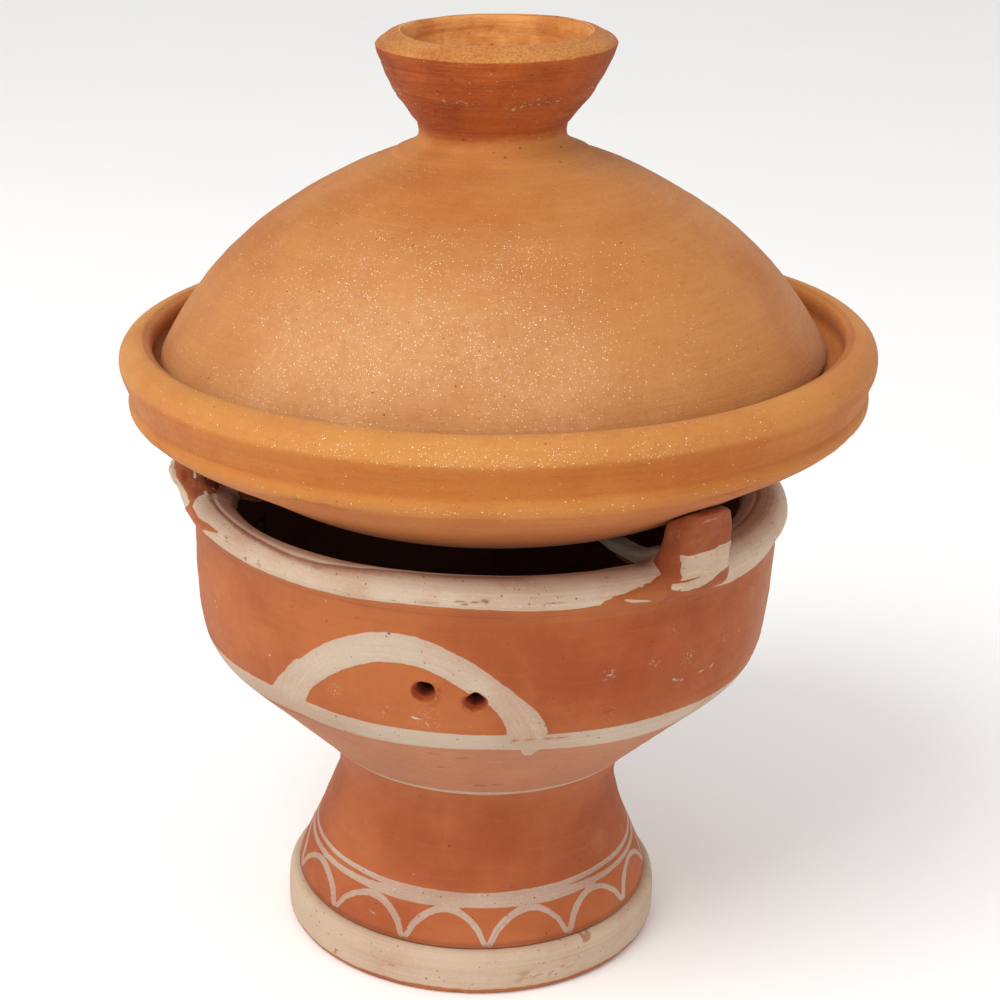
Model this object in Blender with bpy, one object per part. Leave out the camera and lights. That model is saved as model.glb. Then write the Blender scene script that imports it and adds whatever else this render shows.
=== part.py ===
"""Tagine pot: a conical-lidded clay cooking dish standing on a clay brazier.

Metres, +Z up, origin under the middle of the whole object at floor level.

  brazier   foot ring, hollow pedestal, bowl, thick rim coil and three lugs
  dish      shallow cooking dish, resting a little unevenly on the three lugs
  lid       low dome that sits inside the dish's rim, with a hollow collar knob

Turned pieces are drawn as a profile (radius, height) in millimetres and spun
round their axis.  Each piece is one closed solid; pieces that touch keep a
0.3 mm gap.
"""
import math

import bmesh
import bpy
from mathutils import Matrix, Vector

# ---------------------------------------------------------------- dimensions
MM = 0.001
GAP = 0.3                    # gap between neighbouring solids, mm

BRAZIER_X = -2.8             # axis of the brazier, from the origin
DISH_X = 1.25                # axis of the dish where it crosses DISH_PIVOT_Z
DISH_PIVOT_Z = 215.0
DISH_TILT = math.radians(1.87)   # the dish stands this much higher at +X
LID_X = -2.0                 # the lid sits this far off the dish's axis
KNOB_LEAN = 1.6              # the knob's top stands this far back towards +X
KNOB_MOUTH = 0.028           # slope of the knob's mouth, higher at +Y
KNOB_RISE = 0.9              # and the whole mouth is this much higher

FOOT_RING_H = 19.4           # height of the foot ring
FOOT_TOP = 83.7              # top of the pedestal
BOWL_BOTTOM = FOOT_TOP + GAP
BOWL_TOP = 185.6             # top of the bowl's wall, under the rim coil
RIM_BOTTOM = BOWL_TOP + GAP
FOOT_SHIFT = -1.8            # the foot is thrown slightly off the bowl's axis

SEG_DISH = 48                # facets round the dish and the lid
SEG_BRAZIER = 40             # facets round the brazier's pieces
SEG_KNOB = 32

LUG_FIRST = 40.4             # azimuth of the first lug, degrees from -Y to +X
LUG_STEP = 120.0             # three lugs, evenly spaced
# name, height where the tab starts, how far its outer side is drawn in there,
# and how far the finger is set sideways and raised: each lug is shaped by hand
LUGS = [("lug_right", 186.0, 0.0, -1.3, 0.0), ("lug_back", 188.0, 2.4, 1.0, 0.8),
        ("lug_left", 190.5, 4.8, 0.6, 2.0)]
ARCH_FIRST = -14.8           # azimuth of the first painted arch
ARCH_STEPS = (0.0, 120.0, 256.8)   # the others from it: no rear hole shows in the mouth
VENT_AZIMUTHS = (4.5, 13.8)  # the two air holes, from their arch's azimuth
VENT_HEIGHTS = (153.9, 150.2)
VENT_W, VENT_H = 6.6, 8.2    # an air hole's width and height at the outside

# ------------------------------------------------------------------ profiles
# (radius, height) in mm; each list runs down the outside of the piece, and
# its partner runs back up the inside.
FOOT_RING = [(66.0, 0.0), (77.6, 0.0), (79.0, 1.8), (79.4, 7.5), (79.3, 13.0),
             (78.7, 16.8), (77.4, 18.8), (75.6, FOOT_RING_H),
             (66.0, FOOT_RING_H)]

FOOT_OUT = [(64.1, FOOT_TOP), (61.7, 79.0), (59.7, 74.0), (58.8, 68.0),
            (59.4, 63.5), (61.4, 56.0), (64.0, 48.0), (67.0, 40.0),
            (70.7, 32.0), (73.4, 25.5), (74.9, FOOT_RING_H + GAP)]
FOOT_IN = [(65.5, FOOT_RING_H + GAP), (59.5, 31.0), (53.5, 44.0),
           (49.5, 57.0), (48.0, 68.0), (49.5, 77.0), (52.0, FOOT_TOP)]

BOWL_OUT = [(119.0, BOWL_TOP), (118.6, 180.0), (118.4, 173.0), (118.1, 163.0),
            (117.4, 152.0), (116.4, 143.0), (115.4, 137.5), (113.6, 133.0),
            (110.7, 128.7), (106.3, 124.0), (97.9, 116.0), (85.5, 104.0),
            (72.8, 92.0), (64.5, BOWL_BOTTOM), (0.0, BOWL_BOTTOM)]
BOWL_IN = [(0.0, 97.0), (42.0, 97.8), (66.0, 102.0), (84.0, 111.5),
           (97.0, 124.0), (104.5, 138.0), (107.0, 154.0), (107.8, 170.0),
           (107.8, BOWL_TOP)]

RIM = [(107.8, RIM_BOTTOM), (119.3, RIM_BOTTOM), (121.4, 187.6),
       (122.5, 190.4), (121.6, 193.6), (119.2, 196.0), (116.0, 197.2),
       (112.6, 197.3), (108.2, 196.4), (104.8, 195.3), (103.1, 193.9),
       (102.7, 191.5), (103.9, 188.6), (106.0, 186.8)]

DISH_OUT = [(140.2, 261.4), (143.2, 261.2), (146.4, 259.6), (149.0, 256.6),
            (150.0, 253.4), (149.6, 249.6), (148.1, 245.4), (146.9, 241.6),
            (146.6, 239.6), (147.0, 236.6), (146.0, 233.2), (142.2, 229.8),
            (134.2, 224.8), (124.8, 219.4), (115.4, 213.9), (106.3, 208.2),
            (97.6, 203.2), (91.0, 200.4), (84.0, 199.2), (0.0, 199.2)]
DISH_IN = [(0.0, 206.6), (70.0, 206.9), (88.0, 209.4), (103.0, 216.4),
           (115.5, 226.5), (124.0, 238.0), (127.0, 248.6), (127.2, 249.8),
           (136.8, 250.6), (136.3, 256.0), (137.2, 259.6)]

LID_OUT = [(0.0, 333.2), (31.6, 333.2), (34.6, 331.8), (39.4, 329.7),
           (46.6, 327.0), (53.8, 324.0), (66.0, 318.0), (76.6, 312.0),
           (85.8, 306.0), (94.2, 300.0), (101.2, 294.0), (107.4, 288.0),
           (115.3, 279.0), (122.0, 270.0), (127.6, 261.0), (131.0, 254.8),
           (131.8, 252.6), (131.0, 251.2)]
LID_IN = [(123.4, 251.2), (121.2, 255.6), (115.0, 266.0), (105.4, 279.6),
          (93.6, 291.6), (79.0, 302.8), (62.0, 312.8), (42.0, 320.6),
          (20.0, 324.6), (0.0, 325.2)]

KNOB_OUT = [(36.4, 375.3), (39.6, 374.8), (44.0, 372.6), (46.3, 370.3),
            (46.0, 368.2), (43.8, 364.0), (41.0, 358.0), (38.2, 353.0),
            (34.3, 348.0), (30.9, 343.6), (28.9, 340.2), (28.7, 338.0),
            (29.7, 335.4), (31.2, 333.5), (0.0, 333.5)]
KNOB_IN = [(0.0, 342.2), (14.0, 342.6), (19.0, 344.6), (22.6, 348.6),
           (27.4, 354.6), (31.6, 361.0), (34.4, 367.6), (35.6, 373.6)]

# One lug in its own frame: u outward from the brazier's axis, v sideways, w up.
# The tab's plan outlines, bottom to top: (w, inner u, outer u, half width).
LUG_TAB = [(186.0, 112.0, 124.8, 10.6), (189.5, 111.0, 126.6, 13.2),
           (196.0, 110.6, 127.4, 14.4), (204.0, 110.8, 127.8, 14.6),
           (210.0, 111.2, 127.8, 14.0), (214.0, 111.8, 127.0, 12.4),
           (217.2, 113.2, 125.0, 9.4), (219.0, 115.6, 122.4, 5.2)]
# The finger that reaches in over the bowl: (u, lower w, upper w, half width).
LUG_FINGER = [(114.0, 199.0, 203.5, 6.4), (107.0, 197.3, 200.8, 5.8),
              (101.0, 190.6, 198.2, 5.6), (95.0, 186.2, 195.6, 5.5),
              (87.0, 186.4, 194.6, 5.2), (78.0, 188.4, 195.4, 4.9),
              (70.0, 190.6, 196.2, 4.4), (67.2, 192.0, 195.6, 3.4)]

CLAY_RED = (0.36, 0.115, 0.048)
CLAY_GOLD = (0.58, 0.235, 0.075)
SLIP = (0.62, 0.47, 0.34)


# ------------------------------------------------------------------- helpers
def material(name, colour, roughness):
    mat = bpy.data.materials.new(name)
    mat.use_nodes = True
    bsdf = mat.node_tree.nodes["Principled BSDF"]
    bsdf.inputs["Base Color"].default_value = (*colour, 1.0)
    bsdf.inputs["Roughness"].default_value = roughness
    bsdf.inputs["Metallic"].default_value = 0.0
    return mat


def grow(loop, distance):
    """A closed (r, z) outline pushed outward by distance, corner by corner."""
    area = sum(a[0] * b[1] - b[0] * a[1]
               for a, b in zip(loop, loop[1:] + loop[:1]))
    side = 1.0 if area > 0 else -1.0
    out = []
    for i, (r, z) in enumerate(loop):
        before = Vector((r, z)) - Vector(loop[i - 1])
        after = Vector(loop[(i + 1) % len(loop)]) - Vector((r, z))
        n1 = Vector((before.y, -before.x)).normalized() * side
        n2 = Vector((after.y, -after.x)).normalized() * side
        mid = (n1 + n2).normalized()
        step = distance / max(mid.dot(n1), 0.5)
        out.append((max(r + mid.x * step, 0.0), z + mid.y * step))
    return out


def finish_mesh(bm, name, mat, sharp=32.0):
    bmesh.ops.remove_doubles(bm, verts=bm.verts, dist=1e-6)
    bmesh.ops.recalc_face_normals(bm, faces=bm.faces)
    mesh = bpy.data.meshes.new(name)
    bm.to_mesh(mesh)
    bm.free()
    mesh.shade_smooth()
    mesh.set_sharp_from_angle(angle=math.radians(sharp))
    if mat is not None:
        mesh.materials.append(mat)
    obj = bpy.data.objects.new(name, mesh)
    bpy.context.scene.collection.objects.link(obj)
    return obj


def turned(name, profile, mat, segments=SEG_BRAZIER, shift=None):
    """Spin a closed profile about Z; a side that lies on the axis is left out.

    shift(y, z) gives a point's offset along X and Z; all in mm.
    """
    bm = bmesh.new()
    verts = [bm.verts.new((r * MM, 0.0, z * MM)) for r, z in profile]
    edges = [bm.edges.new((a, b)) for a, b in zip(verts, verts[1:] + verts[:1])
             if max(a.co.x, b.co.x) > 1e-7]
    bmesh.ops.spin(bm, geom=verts + edges, cent=(0, 0, 0), axis=(0, 0, 1),
                   angle=2.0 * math.pi, steps=segments, use_merge=True)
    bmesh.ops.remove_doubles(bm, verts=bm.verts, dist=1e-6)
    if shift is not None:
        for v in bm.verts:
            dx, dz = shift(v.co.y / MM, v.co.z / MM)
            v.co.x += dx * MM
            v.co.z += dz * MM
    return finish_mesh(bm, name, mat)


def ramp(x, low, high):
    t = min(max((x - low) / (high - low), 0.0), 1.0)
    return t * t * (3.0 - 2.0 * t)


def ring_points(cu, cv, a, b, power, count):
    """Points round a superellipse centred on (cu, cv)."""
    pts = []
    for i in range(count):
        t = 2.0 * math.pi * i / count
        c, s = math.cos(t), math.sin(t)
        pts.append((cu + a * math.copysign(abs(c) ** (2.0 / power), c),
                    cv + b * math.copysign(abs(s) ** (2.0 / power), s)))
    return pts


def skin_rings(bm, rings):
    """Bridge a stack of equal rings of points and close both ends."""
    rows = [[bm.verts.new(p) for p in ring] for ring in rings]
    count = len(rows[0])
    for low, high in zip(rows, rows[1:]):
        for i in range(count):
            j = (i + 1) % count
            bm.faces.new((low[i], low[j], high[j], high[i]))
    bm.faces.new(tuple(reversed(rows[0])))
    bm.faces.new(tuple(rows[-1]))


def use(obj, operation, other):
    mod = obj.modifiers.new(operation.lower(), 'BOOLEAN')
    mod.operation = operation
    mod.solver = 'EXACT'
    mod.object = other
    return mod


def hidden(obj):
    obj.hide_render = True
    obj.display_type = 'WIRE'
    return obj


def place(obj, parent):
    obj.parent = parent
    return obj


def empty(name, location, rotation=(0.0, 0.0, 0.0), parent=None):
    obj = bpy.data.objects.new(name, None)
    obj.location = location
    obj.rotation_euler = rotation
    obj.parent = parent
    bpy.context.scene.collection.objects.link(obj)
    return obj


# --------------------------------------------------------------------- build
def foot_lean(y, z):
    """The foot stands off the bowl's axis and meets it at the top."""
    return FOOT_SHIFT * (1.0 - ramp(z, 46.0, 83.0)), 0.0


def knob_lean(y, z):
    """The collar leans towards +X, and its mouth is higher at the back."""
    return (KNOB_LEAN * ramp(z, 333.0, 375.0),
            (KNOB_RISE + y * KNOB_MOUTH) * ramp(z, 350.0, 374.0))


def build_brazier():
    base = empty("brazier_axis", (BRAZIER_X * MM, 0.0, 0.0))
    ring = turned("foot_ring", FOOT_RING, material("slip_ring", SLIP, 0.75),
                  shift=foot_lean)
    foot = turned("pedestal", FOOT_OUT + FOOT_IN,
                  material("clay_pedestal", CLAY_RED, 0.5), shift=foot_lean)
    bowl = turned("brazier_bowl", BOWL_OUT + BOWL_IN,
                  material("clay_bowl", CLAY_RED, 0.5))
    rim = turned("brazier_rim", RIM, material("slip_rim", SLIP, 0.8))
    for obj in (ring, foot, bowl, rim):
        place(obj, base)

    holes = bmesh.new()
    for step in ARCH_STEPS:
        for da, height in zip(VENT_AZIMUTHS, VENT_HEIGHTS):
            azimuth = math.radians(ARCH_FIRST + da + step)
            turn = Matrix.Rotation(azimuth, 4, 'Z')
            rings = []
            for depth, scale in ((98.0, 0.82), (109.0, 0.86), (118.0, 1.0),
                                 (126.0, 1.25)):
                rings.append([turn @ Vector((x * MM, -depth * MM, z * MM))
                              for x, z in ring_points(
                                  0.0, height, VENT_W * scale / 2,
                                  VENT_H * scale / 2, 2.0, 10)])
            skin_rings(holes, rings)
    cutter = hidden(finish_mesh(holes, "vent_cutter", None))
    place(cutter, base)
    use(bowl, 'DIFFERENCE', cutter)
    return base, bowl


def build_dish(parent):
    dish = turned("dish", DISH_OUT + DISH_IN,
                  material("clay_dish", CLAY_GOLD, 0.55), segments=SEG_DISH)
    place(dish, parent)
    return dish


def build_lid(parent):
    dome = turned("lid_dome", LID_OUT + LID_IN,
                  material("clay_lid", CLAY_GOLD, 0.5), segments=SEG_DISH)
    knob = turned("lid_knob", KNOB_OUT + KNOB_IN,
                  material("clay_knob", CLAY_RED, 0.6), segments=SEG_KNOB,
                  shift=knob_lean)
    place(dome, parent)
    place(knob, parent)


def lug_solid(name, azimuth, mat, start, lean, finger_v, finger_lift):
    """A tab standing on the rim, with a finger reaching in over the bowl."""
    outward = math.radians(azimuth)
    frame = Matrix(((math.sin(outward), math.cos(outward), 0.0),
                    (-math.cos(outward), math.sin(outward), 0.0),
                    (0.0, 0.0, 1.0)))

    def at(u, v, w):
        return frame @ Vector((u * MM, v * MM, w * MM))

    tab = bmesh.new()
    rings = []
    for low, high in zip(LUG_TAB, LUG_TAB[1:]):
        if low[0] < start < high[0]:
            t = (start - low[0]) / (high[0] - low[0])
            foot = [tuple(a + (b - a) * t for a, b in zip(low, high))]
        elif low[0] == start:
            foot = [low]
    for w, u0, u1, half in foot + [row for row in LUG_TAB if row[0] > start]:
        u1 -= lean * (1.0 - ramp(w, 188.0, 208.0))
        rings.append([at(u, v, w) for u, v in ring_points(
            (u0 + u1) / 2, 0.0, (u1 - u0) / 2, half, 2.7, 16)])
    skin_rings(tab, rings)
    tab = finish_mesh(tab, name, mat)
    finger = bmesh.new()
    rings = []
    for u, w0, w1, half in LUG_FINGER:
        lift = finger_lift * (1.0 - ramp(u, 92.0, 106.0))
        rings.append([at(u, finger_v + v, lift + w) for w, v in ring_points(
            (w0 + w1) / 2, 0.0, (w1 - w0) / 2, half, 2.6, 12)])
    skin_rings(finger, rings)
    finger = hidden(finish_mesh(finger, name + "_finger", None))
    use(tab, 'UNION', finger)
    return tab, finger


def main():
    for obj in list(bpy.data.objects):
        bpy.data.objects.remove(obj, do_unlink=True)

    brazier, _ = build_brazier()
    lift = empty("dish_axis", (DISH_X * MM, 0.0, DISH_PIVOT_Z * MM),
                 (0.0, -DISH_TILT, 0.0))
    dish_frame = empty("dish_frame", (0.0, 0.0, -DISH_PIVOT_Z * MM),
                       parent=lift)
    build_dish(dish_frame)
    lid_frame = empty("lid_axis", (LID_X * MM, 0.0, 0.0), parent=dish_frame)
    build_lid(lid_frame)

    # what the lugs must clear: the rim and bowl wall, and the dish's underside
    wall = [(107.8, 150.0), (118.4, 150.0), (119.0, BOWL_TOP)]
    rim_outline = wall + RIM[1:] + [(107.8, RIM_BOTTOM)]
    rim_cut = hidden(turned("rim_clearance", grow(rim_outline, 0.35), None))
    place(rim_cut, brazier)
    dish_outline = DISH_OUT + [(0.0, 230.0), (110.0, 245.0)]
    grown = grow(dish_outline, 0.35)
    grown[len(DISH_OUT) - 1] = (0.0, grown[len(DISH_OUT) - 1][1])
    grown[len(DISH_OUT)] = (0.0, 230.0)
    start = len(DISH_OUT)
    grown = grown[start + 1:] + grown[:start]
    grown = [(0.0, 240.0)] + grown
    dish_cut = hidden(turned("dish_clearance", grown, None, segments=SEG_DISH))
    place(dish_cut, dish_frame)

    for index, (name, *shape) in enumerate(LUGS):
        tab, finger = lug_solid(name, LUG_FIRST + LUG_STEP * index,
                                material("clay_" + name, CLAY_RED, 0.6), *shape)
        place(tab, brazier)
        place(finger, brazier)
        use(tab, 'DIFFERENCE', rim_cut)
        use(tab, 'DIFFERENCE', dish_cut)


main()
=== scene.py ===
"""Looks of the tagine pot: thrown and slip-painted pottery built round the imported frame.

Every turned piece is spun again at high resolution from a smooth profile, with
the marks of throwing and painting in its mesh; the three lugs are modelled as
lumps of clay pressed on the rim.  Profiles are (radius, height) in millimetres
in the piece's own frame; azimuths run from -Y (the front) towards +X.
"""

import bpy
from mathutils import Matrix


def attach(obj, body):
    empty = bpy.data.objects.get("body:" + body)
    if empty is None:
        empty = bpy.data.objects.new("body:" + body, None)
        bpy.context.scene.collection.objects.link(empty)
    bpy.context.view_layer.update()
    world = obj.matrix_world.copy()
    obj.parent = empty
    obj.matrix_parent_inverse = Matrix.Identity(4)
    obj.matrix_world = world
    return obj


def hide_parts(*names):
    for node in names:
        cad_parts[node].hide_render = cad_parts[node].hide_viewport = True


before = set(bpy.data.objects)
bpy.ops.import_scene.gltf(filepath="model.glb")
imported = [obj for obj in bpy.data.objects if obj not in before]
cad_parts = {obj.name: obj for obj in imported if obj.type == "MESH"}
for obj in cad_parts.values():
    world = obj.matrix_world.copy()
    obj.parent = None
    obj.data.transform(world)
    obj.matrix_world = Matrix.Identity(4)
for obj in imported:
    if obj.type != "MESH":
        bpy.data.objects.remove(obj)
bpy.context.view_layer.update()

import math

import bmesh
from mathutils.bvhtree import BVHTree
import bpy
import numpy as np
from mathutils import Matrix, Vector

MM = 0.001
BRAZIER_X, DISH_X, LID_X = -2.8, 1.25, -2.0
DISH_PIVOT_Z, DISH_TILT = 215.0, math.radians(1.87)
FOOT_SHIFT = -1.8
ARCHES = (-14.8, 105.2, 242.0)
LUGS = (("lug_right", 40.4, 189.4, 0.0, -1.3, 0.0),
        ("lug_back", 160.4, 188.0, 2.4, 1.0, 0.8),
        ("lug_left", 280.4, 190.5, 4.8, 0.6, 2.0))

BRAZIER_FRAME = Matrix.Translation((BRAZIER_X * MM, 0, 0))
DISH_FRAME = (Matrix.Translation((DISH_X * MM, 0, DISH_PIVOT_Z * MM))
              @ Matrix.Rotation(-DISH_TILT, 4, 'Y')
              @ Matrix.Translation((0, 0, -DISH_PIVOT_Z * MM)))
LID_FRAME = DISH_FRAME @ Matrix.Translation((LID_X * MM, 0, 0))

# ------------------------------------------------------------------ profiles
# a third value of 1 marks a corner; lists follow the section all the way round
RING = [(66.0, 0.25, 1), (75.8, 0.12), (77.3, 0.25), (78.5, 1.4), (79.2, 3.0), (79.35, 4.6), (79.4, 8.6), (79.3, 13.0),
        (78.7, 16.6), (77.6, 18.6), (76.0, 19.35), (74.6, 19.2), (66.0, 19.2, 1)]
FOOT = [(64.6, 84.9, 1), (64.0, 83.4), (61.7, 79.0), (59.7, 74.0), (58.8, 68.0), (59.4, 62.4),
        (61.4, 55.6), (64.0, 48.0), (67.0, 40.0), (70.7, 32.0), (73.4, 25.5), (74.7, 21.2),
        (74.9, 19.7, 1), (65.5, 19.7, 1), (59.5, 31.0), (53.5, 44.0), (49.5, 57.0),
        (48.0, 68.0), (49.5, 77.0), (52.0, 84.9, 1)]
BOWL = [(107.8, 187.4, 1), (118.6, 187.4, 1), (118.9, 185.0), (118.6, 180.0), (118.4, 173.0),
        (118.1, 163.0), (117.4, 152.0), (116.4, 143.0), (115.4, 137.5), (113.6, 133.0),
        (110.7, 128.7), (106.3, 124.0), (97.9, 116.0), (85.5, 104.0), (72.8, 92.0),
        (65.4, 84.9), (64.2, 84.05), (62.0, 84.0, 1), (0.0, 84.0)]
BOWL_IN = [(0.0, 97.0), (42.0, 97.8), (66.0, 102.0), (84.0, 111.5), (97.0, 124.0),
           (104.5, 138.0), (107.0, 154.0), (107.8, 170.0)]
RIM = [(108.2, 185.95, 1), (117.6, 185.95, 1), (118.25, 179.8, 1), (118.66, 181.2), (118.88, 182.9),
       (119.15, 184.5), (119.75, 186.1), (121.1, 188.0), (122.4, 190.4), (121.6, 193.5), (119.2, 195.9), (116.0, 197.1),
       (112.6, 197.2), (109.6, 196.7), (107.2, 196.0), (105.4, 195.3), (104.2, 194.5),
       (103.1, 193.2), (102.7, 191.5), (103.9, 188.6), (106.0, 186.8)]
DISH = [(140.2, 261.3), (143.2, 261.1), (146.4, 259.5), (148.9, 256.6), (149.8, 253.4),
        (149.4, 249.6), (147.9, 245.4), (146.7, 241.8), (146.4, 239.8), (147.0, 236.9),
        (146.8, 234.6), (145.5, 232.5, 1), (142.0, 229.9), (134.2, 224.8), (124.8, 219.4), (115.4, 213.9),
        (106.3, 208.2), (97.6, 203.2), (91.0, 200.3), (84.0, 199.25, 1), (0.0, 199.25)]
DISH_IN = [(0.0, 206.6), (70.0, 206.9), (88.0, 209.4), (103.0, 216.4), (115.5, 226.5),
           (124.0, 238.0), (126.8, 247.6), (128.2, 249.9), (136.0, 250.6), (136.9, 252.0),
           (136.4, 256.0), (137.2, 259.6)]
LID = [(0.0, 333.2), (28.0, 333.2, 1), (31.6, 333.0), (34.6, 331.8), (39.4, 329.7),
       (46.6, 327.0), (53.8, 324.0), (66.0, 318.0), (76.6, 312.0), (85.8, 306.0),
       (94.2, 300.0), (101.2, 294.0), (107.4, 288.0), (115.3, 279.0), (122.0, 270.0),
       (127.6, 261.0), (130.9, 254.8), (131.7, 252.7), (131.0, 251.3)]
LID_IN = [(123.4, 251.3), (121.2, 255.6), (115.0, 266.0), (105.4, 279.6), (93.6, 291.6),
          (79.0, 302.8), (62.0, 312.8), (42.0, 320.6), (20.0, 324.6), (0.0, 325.2)]
KNOB = [(36.6, 375.1), (39.2, 374.9), (43.4, 372.8), (45.8, 371.2), (46.3, 370.5, 1),
        (45.7, 368.2), (43.9, 363.9), (41.0, 358.0), (38.2, 353.0), (34.3, 348.0),
        (30.9, 343.6), (28.9, 340.2), (28.6, 337.9), (29.5, 335.4), (31.6, 333.6),
        (34.6, 332.2), (38.0, 330.7), (40.0, 329.0, 1), (0.0, 329.0)]
KNOB_IN = [(0.0, 342.2), (14.0, 342.6), (19.0, 344.6), (22.6, 348.6), (27.4, 354.6),
           (31.6, 361.0), (34.4, 367.6), (35.5, 373.2)]
LUG_TAB = [(186.0, 112.0, 124.8, 10.6), (189.5, 111.0, 126.6, 13.2), (196.0, 110.6, 127.4, 14.4),
           (204.0, 110.8, 127.9, 14.6), (210.0, 111.2, 128.5, 14.5), (214.0, 111.6, 129.1, 13.9),
           (217.5, 112.4, 129.7, 12.6), (220.0, 114.0, 129.9, 11.2), (222.0, 116.0, 129.6, 9.2)]
LUG_FINGER = [(67.2, 192.0, 195.6, 3.4), (70.0, 190.6, 196.2, 4.4), (78.0, 188.4, 195.4, 4.9),
              (87.0, 186.4, 194.6, 5.2), (95.0, 186.2, 195.6, 5.5), (101.0, 190.6, 198.2, 5.6),
              (107.0, 197.3, 200.8, 5.8), (114.0, 199.0, 203.5, 6.4)]


# --------------------------------------------------------------- small maths
def lattice(ix, iy, iz, seed):
    h = (ix * np.uint64(73856093)) ^ (iy * np.uint64(19349663)) ^ (iz * np.uint64(83492791))
    h = (h ^ np.uint64(seed * 2654435761 + 97)) & np.uint64(0xFFFFFFFF)
    h = ((h >> np.uint64(15)) ^ h) * np.uint64(2246822519) & np.uint64(0xFFFFFFFF)
    h = ((h >> np.uint64(13)) ^ h) * np.uint64(3266489917) & np.uint64(0xFFFFFFFF)
    return ((h >> np.uint64(16)) ^ h).astype(float) / 2147483647.5 - 1.0


def noise(x, y, z, seed=0):
    """Smooth value noise from -1 to 1."""
    p = np.stack(np.broadcast_arrays(x, y, z), -1).astype(float) + 4096.0
    i = np.floor(p)
    f = p - i
    f = f * f * f * (f * (f * 6 - 15) + 10)
    i = i.astype(np.uint64)
    one = np.uint64(1)
    total = 0.0
    for dx in (0, 1):
        wx = f[..., 0] if dx else 1 - f[..., 0]
        for dy in (0, 1):
            wy = f[..., 1] if dy else 1 - f[..., 1]
            for dz in (0, 1):
                wz = f[..., 2] if dz else 1 - f[..., 2]
                total = total + wx * wy * wz * lattice(
                    i[..., 0] + one * np.uint64(dx), i[..., 1] + one * np.uint64(dy),
                    i[..., 2] + one * np.uint64(dz), seed)
    return total


def fbm(x, y, z, octaves=3, seed=0):
    total, size = 0.0, 1.0
    for k in range(octaves):
        total = total + size * noise(x * 2 ** k, y * 2 ** k, z * 2 ** k, seed + 7 * k)
        size *= 0.5
    return total


def ramp(x, low, high):
    t = np.clip((x - low) / (high - low), 0.0, 1.0)
    return t * t * (3.0 - 2.0 * t)


def bump(x, centre, width):
    return np.exp(-((x - centre) / width) ** 2)


def wrap(a):
    """An angle in degrees brought to -180..180."""
    return (a + 180.0) % 360.0 - 180.0


# -------------------------------------------------------------------- meshes
def smooth_loop(points, spacing, closed):
    """A smooth line through the points: (radius, height) rows, evenly set out."""
    pts = np.array([p[:2] for p in points], float)
    corner = [len(p) > 2 or p[0] == 0.0 for p in points]
    n = len(pts)
    last = n if closed else n - 1
    chord = [np.linalg.norm(pts[(i + 1) % n] - pts[i]) for i in range(n)]
    slope = [(pts[(i + 1) % n] - pts[i]) / max(chord[i], 1e-9) for i in range(n)]

    def tangent(i, leaving):
        before, after = (i - 1) % n, i
        if corner[i] or (not closed and i in (0, n - 1)):
            if not closed and i == 0:
                return slope[0]
            if not closed and i == n - 1:
                return slope[n - 2]
            return slope[after] if leaving else slope[before]
        return ((slope[before] * chord[after] + slope[after] * chord[before])
                / (chord[before] + chord[after]))

    rows = []
    for i in range(last):
        a, b = pts[i], pts[(i + 1) % n]
        ta, tb = tangent(i, True) * chord[i], tangent((i + 1) % n, False) * chord[i]
        count = max(1, int(math.ceil(chord[i] / spacing((a + b) / 2, i))))
        t = np.arange(count)[:, None] / count
        h = (2 * t ** 3 - 3 * t ** 2 + 1, t ** 3 - 2 * t ** 2 + t,
             -2 * t ** 3 + 3 * t ** 2, t ** 3 - t ** 2)
        rows.append(h[0] * a + h[1] * ta + h[2] * b + h[3] * tb)
    if not closed:
        rows.append(pts[-1:])
    rows = np.concatenate(rows)
    rows[:, 0] = np.maximum(rows[:, 0], 0.0)
    return rows


def mesh_object(name, verts, polys, smooth=True):
    """polys is a list of integer arrays of shape (n, 3) or (n, 4)."""
    me = bpy.data.meshes.new(name)
    me.vertices.add(len(verts))
    me.vertices.foreach_set("co", np.asarray(verts, np.float32).ravel())
    loops = np.concatenate([p.ravel() for p in polys]).astype(np.int32)
    sizes = np.concatenate([np.full(len(p), p.shape[1]) for p in polys])
    me.loops.add(len(loops))
    me.loops.foreach_set("vertex_index", loops)
    me.polygons.add(len(sizes))
    starts = np.concatenate([[0], np.cumsum(sizes)[:-1]]).astype(np.int32)
    me.polygons.foreach_set("loop_start", starts)
    me.update(calc_edges=True)
    me.validate()
    if smooth:
        me.shade_smooth()
    obj = bpy.data.objects.new(name, me)
    bpy.context.scene.collection.objects.link(obj)
    return obj


def coords(obj):
    co = np.empty(len(obj.data.vertices) * 3, np.float32)
    obj.data.vertices.foreach_get("co", co)
    return co.reshape(-1, 3).astype(float)


def move(obj, matrix):
    obj.data.transform(matrix)
    obj.data.update()


def give(obj, name, values):
    """A number or a vector for every vertex, which the materials read."""
    values = np.asarray(values, np.float32)
    kind, key = ("FLOAT", "value") if values.ndim == 1 else ("FLOAT_VECTOR", "vector")
    layer = obj.data.attributes.get(name) or obj.data.attributes.new(name, kind, 'POINT')
    layer.data.foreach_set(key, values.ravel())


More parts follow.
